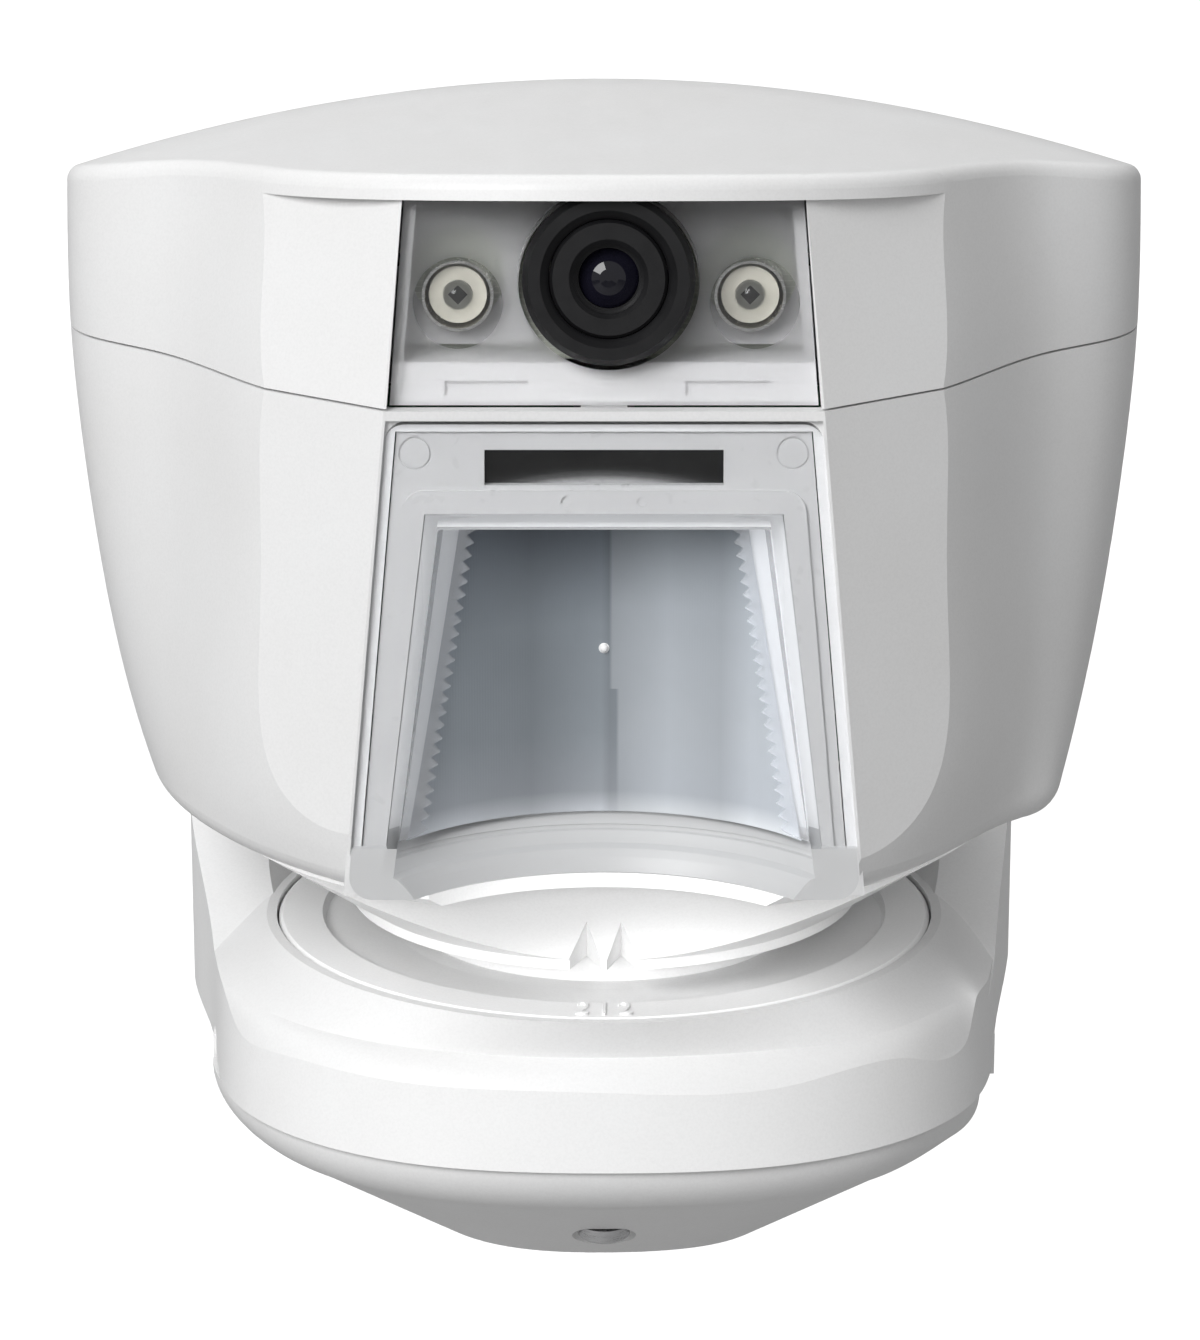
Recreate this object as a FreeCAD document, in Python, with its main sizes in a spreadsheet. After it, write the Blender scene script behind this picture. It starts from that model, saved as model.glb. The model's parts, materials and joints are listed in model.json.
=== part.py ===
import FreeCAD, Part
import math
import os
from FreeCAD import Placement, Rotation, Vector

# Outdoor motion sensor with camera: a swivelling head on a wall bracket.
# Row frame: origin on the wall plane at the swivel ring's height, +X to the viewer's right,
# the sensor faces -Y, the wall is at +Y, +Z up. Each sub-part is drawn in the swivel frame
# (origin where the swivel axis meets the ring plane) and placed axis_to_wall in front of the wall.

doc = FreeCAD.newDocument("motion_sensor")
sheet = doc.addObject("Spreadsheet::Sheet", "params")

DRIVING_DIMENSIONS = [
    # whole object
    ("axis_to_wall", 68.0), ("seam_gap", 0.3), ("wall_skin", 2.4),
    # head levels
    ("head_bottom", 19.8), ("hood_seam", 84.0), ("roof_top", 114.0), ("roof_radius", 360.0),
    ("brow_depth", 3.0), ("brow_round", 2.2),
    ("roof_rear_start", 20.0), ("roof_rear_radius", 90.0), ("roof_rear_bow", 42.0),
    ("bottom_round", 4.0), ("cover_split", 4.0), ("loft_top", 120.0),
    # flat front of the head: half width and depth of the plate at three levels
    ("plate_low_level", 10.0), ("plate_low_half", 34.9), ("plate_low_depth", 55.6),
    ("plate_seam_half", 28.3), ("plate_seam_depth", 49.0),
    ("plate_top_half", 25.0), ("plate_top_depth", 38.7), ("facet_angle", 37.0),
    # foot, bowl and swivel
    ("foot_radius", 36.0), ("foot_under", 3.2), ("foot_edge", 1.4), ("bowl_top_radius", 58.0),
    ("scoop_axis", 76.0), ("scoop_radius", 33.0), ("scoop_slope", 30.0),
    ("neck_radius", 27.0), ("neck_bottom", 8.2), ("neck_skin", 2.5),
    ("ring_radius", 46.2), ("ring_terrace_radius", 39.5), ("ring_bore", 27.1),
    ("ring_terrace_drop", 1.1), ("ring_thickness", 4.0), ("pointer_half", 5.2), ("pointer_depth", 6.0),
    ("clamp_radius", 34.5), ("clamp_thickness", 2.5), ("lock_screw_radius", 2.05),
    ("seal_radius", 29.4), ("seal_section", 0.9),
    # bracket
    ("bracket_seam", 19.4), ("shoulder_level", 6.5), ("shoulder_inset", 3.0),
    ("shoulder_round", 3.0), ("ring_seat", 46.5), ("arm_top", 16.0),
    ("back_half", 35.0), ("back_top", 60.0), ("back_thickness", 3.0),
    ("bracket_skin", 2.5), ("screw_spacing_wide", 46.0), ("screw_spacing_high", 44.0),
    ("wall_hole_radius", 2.3), ("pattern_centre", 26.0), ("wall_tamper_z", 4.0),
    # bottom cover
    ("bowl_rim", 7.0), ("bowl_bottom", 43.0), ("bowl_flat", 24.0), ("cover_screw_y", -34.0),
    # window in the front cover
    ("window_top", 82.4), ("window_bottom", 20.0), ("window_proud", 0.9), ("window_flange", 1.6),
    ("recess_top", 68.8), ("recess_bottom", 26.6), ("recess_top_half", 21.5), ("recess_low_half", 27.0),
    ("film_axis", 71.0), ("film_radius", 33.0), ("film_top_half", 16.6), ("film_low_half", 23.4),
    ("film_sheet", 0.5),
    ("bucket_skin", 1.5), ("sill_low_radius", 32.0), ("sill_top_radius", 38.0),
    ("slot_half", 15.4), ("slot_low", 74.1), ("slot_high", 78.7),
    ("window_corner", 3.0), ("panel_inset", 2.9), ("panel_top", 73.5), ("panel_relief", 0.4),
    ("bezel_skin", 1.2),
    ("mark_x", 24.3), ("mark_z", 78.3), ("mark_radius", 2.0), ("dimple_x", 4.9), ("dimple_z", 72.1),
    # camera
    ("lens_x", 0.6), ("lens_z", 100.3), ("lens_tilt", 8.0), ("lens_flange_radius", 11.7),
    ("lens_barrel_radius", 7.6), ("lens_mouth_radius", 4.5), ("lens_glass_radius", 3.9),
    ("lens_back", 8.4), ("led_x", 18.9), ("led_z", 97.0), ("led_radius", 3.75), ("led_cup_wall", 0.9),
    ("led_dome_radius", 1.96), ("led_hole_radius", 6.1), ("tray_bar_height", 5.2),
    ("tray_depth", 9.0), ("window_sheet", 1.4), ("window_setback", 1.3),
    # inside the head
    ("board_thickness", 1.6), ("board_half", 50.0), ("board_low", 26.0), ("board_high", 79.0),
    ("board_y", -12.0), ("cell_radius", 8.4), ("cell_length", 34.2), ("cell_pitch", 18.6),
    ("cell_y", 8.0), ("cell_low", 32.0), ("screw_shank", 1.5), ("screw_head", 2.9),
    ("button_radius", 2.4), ("plunger_radius", 1.6),
]

for row, (alias, value) in enumerate(DRIVING_DIMENSIONS, start=1):
    sheet.set(f"A{row}", alias)
    sheet.set(f"B{row}", str(value))
    sheet.setAlias(f"B{row}", alias)
doc.recompute()


def dim(alias):
    """A driving dimension, read from the sheet."""
    return float(sheet.get(alias))


SUBPARTS = []
UP = Vector(0, 0, 1)
BACK = Vector(0, 1, 0)
RIGHT = Vector(1, 0, 0)
FAR = 200.0


def subpart(item, label, shift=Vector(0, 0, 0), turn=Rotation()):
    """Names a finished sub-part and places it in the row frame."""
    item.Label = label
    item.Placement = Placement(Vector(0, -dim("axis_to_wall"), 0) + shift, turn)
    SUBPARTS.append(item)
    return item


def feature(label, shape):
    """A sub-part whose free-form shape is computed from the sheet."""
    item = doc.addObject("Part::Feature", "Form_" + label)
    item.Shape = shape
    return subpart(item, label)


def primitive(kind, name, centre, direction=UP, **sizes):
    """A Part primitive whose sizes are expressions of the sheet."""
    item = doc.addObject("Part::" + kind, name)
    for prop, expression in sizes.items():
        item.setExpression(prop, expression)
    item.Placement = Placement(centre, Rotation(UP, direction))
    return item


def cut(name, base, tool):
    item = doc.addObject("Part::Cut", name)
    item.Base = base
    item.Tool = tool
    return item


def block(x0, x1, y0, y1, z0, z1):
    return Part.makeBox(x1 - x0, y1 - y0, z1 - z0, Vector(x0, y0, z0))


def tube(radius_out, radius_in, z0, z1, centre=Vector(0, 0, 0)):
    base = Vector(centre.x, centre.y, z0)
    outer = Part.makeCylinder(radius_out, z1 - z0, base, UP)
    return outer.cut(Part.makeCylinder(radius_in, z1 - z0, base, UP))


def rod(radius, start, end):
    axis = end - start
    return Part.makeCylinder(radius, axis.Length, start, axis)


def spline_edge(points, start_tangent, end_tangent):
    curve = Part.BSplineCurve()
    curve.interpolate(Points=points, InitialTangent=start_tangent, FinalTangent=end_tangent)
    return curve.toShape()


# ---------------------------------------------------------------- head form

# height, front, crease x and y, flank x and y, half width
HEAD_STATIONS = [
    (19.8, 66.0, 43.0, 42.5, 55.0, 26.5, 62.8),
    (30.0, 65.5, 45.3, 43.2, 57.6, 24.0, 66.4),
    (52.0, 63.0, 45.3, 41.2, 59.6, 19.1, 70.8),
    (84.0, 58.0, 43.6, 37.8, 60.7, 14.5, 73.9),
    (100.0, 52.0, 42.4, 33.6, 59.9, 12.3, 73.9),
    (111.0, 48.0, 41.7, 30.8, 59.4, 10.8, 73.6),
    (120.0, 46.6, 41.2, 30.5, 59.2, 10.2, 73.2),
]
WIDEST_Y = 6.0
REAR_DEPTH = 43.0


def head_outline(station, inset):
    """Closed plan outline: one smooth curve round the front, a half ellipse round the rear."""
    level, front, crease_x, crease_y, flank_x, flank_y, half = station
    lean = math.atan2(crease_y - flank_y, flank_x - crease_x)
    move = Vector(-inset * math.sin(lean), inset * math.cos(lean), 0)
    right = [Vector(0, inset - front, level),
             Vector(crease_x, -crease_y, level) + move,
             Vector(flank_x, -flank_y, level) + move,
             Vector(half - inset, WIDEST_Y, level)]
    left = [Vector(-p.x, p.y, level) for p in reversed(right)]
    nose = spline_edge(left + right[1:], Vector(0, -1, 0), Vector(0, 1, 0))
    oval = Part.Ellipse(Vector(half - inset, WIDEST_Y, level),
                        Vector(0, WIDEST_Y + REAR_DEPTH - inset, level),
                        Vector(0, WIDEST_Y, level))
    rear = Part.ArcOfEllipse(oval, 0, math.pi).toShape()
    return Part.Wire([nose, rear])


def plate_polygon(level, half, depth, inset):
    """Plan of the flat plate and its two facets, far wider than the head."""
    angle = math.radians(dim("facet_angle"))
    half = half - inset * math.tan(angle / 2)
    depth = depth - inset
    reach = 90.0
    corner = Vector(half + reach * math.cos(angle), reach * math.sin(angle) - depth, level)
    right = [Vector(half, -depth, level), corner, Vector(corner.x, FAR, level)]
    left = [Vector(-p.x, p.y, level) for p in reversed(right)]
    return Part.makePolygon(left + right + [left[0]])


def flats(inset):
    """Everything behind the front plate and the facets, bent at the hood seam."""
    seam = plate_polygon(dim("hood_seam"), dim("plate_seam_half"), dim("plate_seam_depth"), inset)
    low = plate_polygon(dim("plate_low_level"), dim("plate_low_half"), dim("plate_low_depth"), inset)
    top = plate_polygon(dim("loft_top"), dim("plate_top_half"), dim("plate_top_depth"), inset)
    return Part.makeLoft([low, seam], True, True), Part.makeLoft([seam, top], True, True)


def roof_solid(inset):
    """Space under the roof: arched side to side, rolling down to the rear behind a curved line."""
    floor = 40.0
    radius = dim("roof_radius")
    roll = dim("roof_rear_radius") - inset
    turn = math.radians(32)
    half = 90.0
    profiles = []
    for step in range(-4, 5):
        x = half * step / 4
        top = dim("roof_top") - inset - x * x / (2 * radius)
        start = dim("roof_rear_start") - dim("roof_rear_bow") * (x / dim("roof_rear_radius")) ** 2
        middle = Vector(x, start + roll * math.sin(turn / 2), top - roll * (1 - math.cos(turn / 2)))
        end = Vector(x, start + roll * math.sin(turn), top - roll * (1 - math.cos(turn)))
        corners = [end, Vector(x, end.y, floor), Vector(x, -FAR / 2, floor), Vector(x, -FAR / 2, top),
                   Vector(x, start, top)]
        edges = [Part.makeLine(p, q) for p, q in zip(corners, corners[1:])]
        edges.append(Part.Arc(Vector(x, start, top), middle, end).toShape())
        profiles.append(Part.Wire(edges))
    return Part.makeLoft(profiles, True, False)


def edges_where(shape, test):
    return [edge for edge in shape.Edges if test(edge)]


def head_form(inset):
    """Outer form of the head (inset 0) or of its hollow: lower part and hood part."""
    seam = dim("hood_seam")
    body = Part.makeLoft([head_outline(s, inset) for s in HEAD_STATIONS], True, False)
    flats_low, flats_high = flats(inset)
    lower = body.common(block(-FAR, FAR, -FAR, FAR, dim("head_bottom") + inset, seam))
    if inset == 0:
        lower = lower.makeFillet(dim("bottom_round"), edges_where(
            lower, lambda e: e.BoundBox.ZMax < dim("head_bottom") + 0.1))
    lower = lower.common(flats_low)

    upper = body.common(block(-FAR, FAR, -FAR, FAR, seam, FAR)).common(roof_solid(inset))
    if inset == 0:
        upper = upper.makeFillet(dim("brow_round"), edges_where(
            upper, lambda e: e.BoundBox.ZMin > seam + 15 and e.Length > 20))
    brow = upper.cut(roof_solid(inset + dim("brow_depth")))
    upper = upper.common(flats_high)
    if inset == 0:
        upper = upper.fuse(brow)
    return lower, upper


# ---------------------------------------------------------------- head shells

def window_outline(level_low, level_high, grow, reach_front, reach_back):
    """Trapezoid prism of the window cover's outline, wider towards the bottom."""
    slope = (dim("plate_low_half") - dim("plate_seam_half")) / (dim("hood_seam") - dim("plate_low_level"))

    def half(level):
        return dim("plate_seam_half") - 0.5 + slope * (dim("hood_seam") - level) + grow

    corners = [Vector(half(level_low), reach_front, level_low),
               Vector(half(level_high), reach_front, level_high)]
    mirrored = [Vector(-p.x, p.y, p.z) for p in reversed(corners)]
    face = Part.Face(Part.makePolygon(corners + mirrored + [corners[0]]))
    return face.extrude(Vector(0, reach_back - reach_front, 0))


def recess(grow):
    """The space in front of the film: tapered sides, concave back."""
    top = dim("recess_top") + grow
    low = dim("recess_bottom") - grow
    front = -FAR / 2
    corners = [Vector(dim("recess_low_half") + grow, front, low),
               Vector(dim("recess_top_half") + grow, front, top)]
    mirrored = [Vector(-p.x, p.y, p.z) for p in reversed(corners)]
    face = Part.Face(Part.makePolygon(corners + mirrored + [corners[0]]))
    prism = face.extrude(Vector(0, FAR / 2, 0))
    curve = Part.makeCylinder(dim("film_radius") + grow, FAR, Vector(0, -dim("film_axis"), 0), UP)
    return prism.common(curve.fuse(block(-FAR, FAR, -FAR, -dim("film_axis"), 0, FAR)))


# share of the sill's height, and how far the surface stands off the plain cone there
SILL_STEPS = [(0.26, -0.4), (0.40, -0.5), (0.47, 0.1), (0.68, 0.0), (0.70, 0.4), (0.76, 0.4), (0.78, 0.0)]


def sill_scoop(grow):
    """Concave scoop under the film, turned about a vertical line; it reaches up into the recess."""
    low = dim("window_bottom")
    edge = dim("recess_bottom")
    small = dim("sill_low_radius") + grow
    large = dim("sill_top_radius") + grow
    steps = [(small + share * (large - small) + offset, low + share * (edge - low))
             for share, offset in SILL_STEPS]
    profile = [(0, low - 5), (small, low - 5), (small, low)] + steps
    profile += [(large, edge - 0.4), (large, edge + 1), (0, edge + 1)]
    points = [Vector(x, 0, z) for x, z in profile]
    solid = Part.Face(Part.makePolygon(points + [points[0]])).revolve(Vector(0, 0, 0), UP, 360)
    solid.translate(Vector(0, -dim("scoop_axis"), 0))
    return solid


def sill_sides(grow):
    """The recess's slanted sides carried on down to the window cover's lower edge."""
    low = dim("window_bottom") - 6
    edge = dim("recess_bottom") + 1
    slant = (dim("recess_low_half") - dim("recess_top_half")) / (dim("recess_top") - dim("recess_bottom"))

    def half(level):
        return dim("recess_low_half") + grow + slant * (dim("recess_bottom") - level)

    corners = [Vector(half(low), -FAR, low), Vector(half(edge), -FAR, edge)]
    mirrored = [Vector(-p.x, p.y, p.z) for p in reversed(corners)]
    return Part.Face(Part.makePolygon(corners + mirrored + [corners[0]])).extrude(Vector(0, 2 * FAR, 0))


# where the two hood screws and the four board screws sit
HOOD_SCREW_X = 45.0
HOOD_SCREW_Y = 24.0
BOARD_SCREWS = [(x, z) for x in (-31, 31) for z in (36, 66)]


def make_head_shells():
    """Hood, front cover and head base: one hollow form split by the two seams."""
    seam = dim("hood_seam")
    half_gap = dim("seam_gap") / 2
    split = dim("cover_split")
    lower, upper = head_form(0)
    lower_hollow, upper_hollow = head_form(dim("wall_skin"))
    below = block(-FAR, FAR, -FAR, FAR, 0, seam - half_gap)
    shell = lower.cut(lower_hollow).common(below)

    hood = upper.common(block(-FAR, FAR, -FAR, FAR, seam + half_gap, FAR)).cut(upper_hollow)
    opening = [Vector(28.0, -FAR / 2, seam - 1), Vector(25.9, -FAR / 2, dim("roof_top") - 4.0)]
    opening += [Vector(-p.x, p.y, p.z) for p in reversed(opening)]
    opening = Part.Face(Part.makePolygon(opening + [opening[0]])).extrude(Vector(0, FAR / 2 - 30, 0))
    opening = opening.common(roof_solid(dim("brow_depth")))
    hood = hood.cut(opening)
    for x in (-HOOD_SCREW_X, HOOD_SCREW_X):
        foot = Vector(x, HOOD_SCREW_Y, seam + half_gap)
        boss = rod(4.2, foot, Vector(x, HOOD_SCREW_Y, dim("roof_top") - 3))
        thread = rod(dim("screw_shank"), foot - UP, foot + UP * 13)
        hood = hood.fuse(boss.common(upper)).cut(thread)
    # room for the lens ring behind the brow's lip
    pocket = Vector(dim("lens_x"), -46.5, dim("lens_z"))
    hood = hood.cut(rod(dim("lens_flange_radius") + 0.35, pocket, pocket + BACK * 18))
    feature("hood", hood)

    bowl_clear = Part.makeCylinder(50.5, dim("head_bottom") + 4, Vector(0, 0, 0), UP)
    front = shell.common(block(-FAR, FAR, -FAR, split - half_gap, 0, seam)).cut(bowl_clear)
    front = front.cut(window_outline(dim("window_bottom") - 5, dim("window_top") + 0.2, 0.15, -FAR / 2, -30))
    rib = block(-3, 3, -47.6, -42.6, dim("window_top") + 0.3, seam - half_gap)
    rib = rib.fuse(block(-3, 3, -45.4, -42.6, seam - 6.5, seam - half_gap))
    front = front.fuse(rib).fuse(window_ledge())
    feature("front_cover", front)

    rear = shell.common(block(-FAR, FAR, split + half_gap, FAR, 0, seam))
    for x, near, far in ((-HOOD_SCREW_X, -72, -48.6), (HOOD_SCREW_X, 48.6, 72)):
        tab = rod(5.2, Vector(x, HOOD_SCREW_Y, seam - 6), Vector(x, HOOD_SCREW_Y, seam - 3))
        web = block(near, far, HOOD_SCREW_Y - 1.2, HOOD_SCREW_Y + 1.2, seam - 14, seam - 3)
        top = Vector(x, HOOD_SCREW_Y, seam + 1)
        hole = rod(dim("screw_shank") + 0.05, top - UP * 9, top)
        rear = rear.fuse(tab.fuse(web).common(lower)).cut(hole)
    for x, z in BOARD_SCREWS:
        post = rod(4.0, Vector(x, 18.2, z), Vector(x, 60, z)).common(lower)
        rear = rear.fuse(post)
    collar = tube(49.0, 46.5, dim("head_bottom") - 4, dim("head_bottom") + 1)
    rear = rear.fuse(collar.common(block(-FAR, FAR, split + half_gap, FAR, 0, FAR))).fuse(make_bowl())
    feature("head_base", rear)


def window_ledge():
    """Rebate in the front cover that carries the window cover's rim."""
    low = dim("window_bottom")
    top = dim("window_top")
    rim = 1.25
    behind = dim("window_flange") - dim("window_proud") + 0.1
    skin = dim("bucket_skin") + 0.15
    ledge = window_outline(low, top + 0.6, 0.6, -FAR / 2, 0)
    ledge = ledge.cut(window_outline(low + rim, top - rim, -rim, -FAR / 2, 0))
    ledge = ledge.common(plate_slab(behind, behind + 1.4))
    return ledge.cut(sill_sides(skin)).cut(recess(skin))


def make_bowl():
    """Underside of the head: foot with its pointer, scooped bowl and the hollow swivel neck."""
    foot = dim("foot_radius")
    under = dim("foot_under")
    edge = under + dim("foot_edge")
    top = dim("head_bottom") - 0.3
    wide = dim("bowl_top_radius")
    skin = dim("wall_skin")
    ceiling = top - 2.0
    axis = Vector(0, -dim("scoop_axis"), 0)

    def scoop(grow, low, high):
        """Look-down space under the window: a cone about a vertical line in front of the head."""
        run = 1 / math.tan(math.radians(dim("scoop_slope")))
        start = dim("scoop_axis") - foot + grow
        return Part.makeCone(start + (low - edge) * run, start + (high - edge) * run, high - low,
                             axis + Vector(0, 0, low), UP)

    outline = Part.Face(head_outline(HEAD_STATIONS[0], 5.4))
    outline.translate(Vector(0, 0, -dim("head_bottom")))
    limit = outline.extrude(Vector(0, 0, dim("head_bottom")))
    disc = Part.makeCylinder(foot, edge - under, Vector(0, 0, under), UP)
    flare = Part.makeCone(foot, wide, top - edge, Vector(0, 0, edge), UP)
    hollow = Part.makeCone(foot - skin, wide - skin, top - edge, Vector(0, 0, edge + skin), UP)
    hollow = hollow.cut(scoop(skin / 0.6, edge, top + skin))
    bowl = disc.fuse(flare).common(limit).cut(scoop(0, edge + 0.01, ceiling)).cut(hollow)
    bowl = bowl.cut(Part.makeCylinder(dim("scoop_radius"), FAR, axis + Vector(0, 0, edge + 0.01), UP))

    neck = tube(dim("neck_radius"), dim("neck_radius") - dim("neck_skin"), -dim("neck_bottom"), under + 1)
    web = Part.makeCylinder(dim("neck_radius") - 1, 3.4, Vector(0, 0, -dim("neck_bottom")), UP)
    bowl = bowl.fuse(neck).fuse(web)
    neck_low = Vector(0, 0, -dim("neck_bottom"))
    bowl = bowl.cut(rod(dim("lock_screw_radius") + 0.06, neck_low - UP, neck_low + UP * 4))

    half = dim("pointer_half")
    inner = -(foot - dim("pointer_depth"))
    outer = -foot - 1
    for side in (-1, 1):
        notch = [Vector(side * half, outer, 0), Vector(side * 0.45 * half, inner, 0),
                 Vector(side * 0.32, -foot - 0.2, 0), Vector(side * 0.32, outer, 0)]
        notch = Part.Face(Part.makePolygon(notch + [notch[0]])).extrude(Vector(0, 0, 30))
        bowl = bowl.cut(notch)
    return bowl


# ---------------------------------------------------------------- window in the front cover

def plate_slab(front_offset, back_offset):
    """Slab parallel to the lower front plate; offsets are measured inwards from its face."""
    low = plate_polygon(dim("plate_low_level"), dim("plate_low_half"), dim("plate_low_depth"), 0)
    rise = dim("hood_seam") - dim("plate_low_level")
    lean = (dim("plate_low_depth") - dim("plate_seam_depth")) / rise
    y_low = low.BoundBox.YMin
    y_high = y_low + lean * rise
    z_low = dim("plate_low_level")
    z_high = dim("hood_seam")
    points = [Vector(-FAR, y_low + front_offset, z_low), Vector(-FAR, y_high + front_offset, z_high),
              Vector(-FAR, y_high + back_offset, z_high), Vector(-FAR, y_low + back_offset, z_low)]
    return Part.Face(Part.makePolygon(points + [points[0]])).extrude(Vector(2 * FAR, 0, 0))


def make_window():
    """Window cover with its recess and sill, the lens film, the light guides and the bezel."""
    top = dim("window_top")
    low = dim("window_bottom")
    flange = dim("window_flange")
    proud = -dim("window_proud")
    skin = dim("bucket_skin")
    outline = window_outline(low, top, 0, -FAR / 2, 0)
    outline = outline.makeFillet(2.6, edges_where(
        outline, lambda e: e.BoundBox.YLength > 50 and e.BoundBox.ZMin > top - 1))
    outline = outline.makeFillet(dim("window_corner"), edges_where(
        outline, lambda e: e.BoundBox.YLength > 50 and e.BoundBox.ZMax < low + 1))
    bucket = recess(skin).common(plate_slab(proud + flange, 40))
    sill = block(-FAR, FAR, -60, -30, low, dim("recess_bottom") - skin + 0.3).common(sill_sides(skin))
    sill = sill.common(sill_scoop(skin)).common(plate_slab(proud, 40))
    cover = outline.common(plate_slab(proud, proud + flange)).fuse(bucket).fuse(sill)
    cover = cover.cut(recess(0)).cut(sill_scoop(0).common(sill_sides(0)))
    feature("window_cover", cover)

    curve = tube(dim("film_radius") - 0.05, dim("film_radius") - 0.05 - dim("film_sheet"),
                 dim("recess_bottom") + 0.1, dim("recess_top") - 0.1, Vector(0, -dim("film_axis"), 0))
    film = curve.common(trapezoid_prism(dim("film_top_half") + 2.5, dim("film_low_half") + 2.5))
    film = film.common(block(-FAR, FAR, -60, 0, 0, FAR))
    dot = Part.makeSphere(0.6, Vector(0, -dim("film_axis") + dim("film_radius") - 0.55, 49.3))
    feature("pir_film", film.fuse(dot.common(block(-1, 1, -60, -38.3, 0, FAR))))

    for side, name in ((-1, "left_light_guide"), (1, "right_light_guide")):
        feature(name, light_guide(side))

    make_bezel()


def make_bezel():
    """White mask behind the window cover: raised panel, returns round the recess, lining of the sill."""
    low = dim("window_bottom")
    top = dim("window_top")
    skin = dim("bucket_skin") + 0.15
    lining = skin + dim("bezel_skin")
    face = dim("window_flange") - dim("window_proud") + 0.1
    relief = dim("panel_relief")
    rim = 1.4
    whole = window_outline(low + rim, top - rim, -rim, -FAR / 2, 0)
    panel = window_outline(low - rim, dim("panel_top"), -dim("panel_inset"), -FAR / 2, 0)
    panel = panel.makeFillet(3.0, edges_where(
        panel, lambda e: e.BoundBox.YLength > 50 and e.BoundBox.ZMin > dim("panel_top") - 1))
    bezel = whole.common(plate_slab(face + relief, face + 1.7))
    bezel = bezel.fuse(whole.common(panel).common(plate_slab(face, face + 1.7)))
    below_floor = block(-FAR, FAR, -FAR, FAR, 0, dim("recess_bottom"))
    bezel = bezel.cut(recess(skin)).cut(sill_sides(skin).common(below_floor))
    above_floor = block(-FAR, FAR, -FAR, FAR, dim("recess_bottom") - dim("bucket_skin") + 0.5, FAR)
    returns = recess(lining).cut(recess(skin)).common(plate_slab(face + 1.0, 40)).common(above_floor)
    returns = returns.cut(trapezoid_prism(dim("film_top_half") + 0.4, dim("film_low_half") + 0.4).common(
        block(-FAR, FAR, -52.0, FAR, 0, dim("recess_top") + 0.1)))
    sill = sill_scoop(lining).common(sill_sides(lining)).cut(sill_scoop(skin))
    sill = sill.common(block(-FAR, FAR, -60, 0, low + 0.7, dim("recess_bottom") - skin - 0.1))
    sill = sill.common(plate_slab(face, 40))
    bezel = bezel.fuse(returns).fuse(sill)
    slot = block(-dim("slot_half"), dim("slot_half"), -60, -40, dim("slot_low"), dim("slot_high"))
    bezel = bezel.cut(slot)
    groove = plate_slab(face + relief - 0.1, face + relief + 0.2)
    dimple = plate_slab(face - 0.1, face + 0.2)
    for side in (-1, 1):
        mark = Vector(side * dim("mark_x"), -60, dim("mark_z"))
        ring = rod(dim("mark_radius") + 0.12, mark, mark + BACK * 30).cut(
            rod(dim("mark_radius") - 0.12, mark, mark + BACK * 30))
        dot = Vector(side * dim("dimple_x"), -60, dim("dimple_z"))
        bezel = bezel.cut(ring.common(groove)).cut(rod(0.65, dot, dot + BACK * 30).common(dimple))
    feature("window_bezel", bezel)
    reach = dim("slot_half") + 1.5
    behind = block(-reach, reach, -60, -40, dim("slot_low") - 1, dim("slot_high") + 1)
    feature("slot_filter", behind.common(plate_slab(face + 1.8, face + 2.8)))


def trapezoid_prism(top_half, low_half):
    """Prism along Y between the recess's lower and upper edges."""
    low = Vector(low_half, -FAR, dim("recess_bottom"))
    top = Vector(top_half, -FAR, dim("recess_top"))
    corners = [low, top, Vector(-top.x, -FAR, top.z), Vector(-low.x, -FAR, low.z), low]
    return Part.Face(Part.makePolygon(corners)).extrude(Vector(0, 2 * FAR, 0))


def light_guide(side):
    """Saw-toothed ramp from the film's edge out to the recess's front edge."""
    teeth = 24
    low = dim("recess_bottom") + 0.6
    high = dim("recess_top") - 0.6
    tip = 1.0
    reach = 12.0

    def inner(z):
        share = (z - low) / (high - low)
        return dim("film_low_half") + share * (dim("film_top_half") - dim("film_low_half"))

    def film_y(x):
        return -dim("film_axis") + math.sqrt((dim("film_radius") - 0.7) ** 2 - x * x)

    pitch = (high - low) / teeth
    outline = [Vector(inner(low) + tip, 0, low)]
    for index in range(teeth):
        foot = low + index * pitch
        outline.append(Vector(inner(foot) - 0.2, 0, foot + 0.2 * pitch))
        outline.append(Vector(inner(foot + pitch) + tip, 0, foot + pitch))
    outline += [Vector(inner(high) + reach, 0, high), Vector(inner(low) + reach, 0, low)]
    strip = Part.Face(Part.makePolygon(outline + [outline[0]])).extrude(Vector(0, 30, 0))
    strip.translate(Vector(0, -60, 0))
    low_in = Vector(inner(low) - 0.2, film_y(inner(low)) - 0.4, low)
    high_in = Vector(inner(high) - 0.2, film_y(inner(high)) - 0.4, high)
    low_out = Vector(dim("recess_low_half"), -53.6, low)
    across = (low_out - low_in).normalize()
    along = (high_in - low_in).normalize()
    start = low_in - across * 30 - along * 30
    ramp = [start, start + across * 90, start + across * 90 + along * 110, start + along * 110]
    ramp = Part.Face(Part.makePolygon(ramp + [start])).extrude(along.cross(across).normalize() * -60)
    if ramp.BoundBox.YMax > 0:
        ramp = ramp.mirror(start, along.cross(across).normalize())
    film_space = Part.makeCylinder(dim("film_radius") - 0.7, FAR, Vector(0, -dim("film_axis"), 0), UP)
    strip = strip.cut(ramp).common(film_space).common(recess(-0.12))
    if side < 0:
        strip = strip.mirror(Vector(0, 0, 0), RIGHT)
    return strip


# ---------------------------------------------------------------- camera

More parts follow.
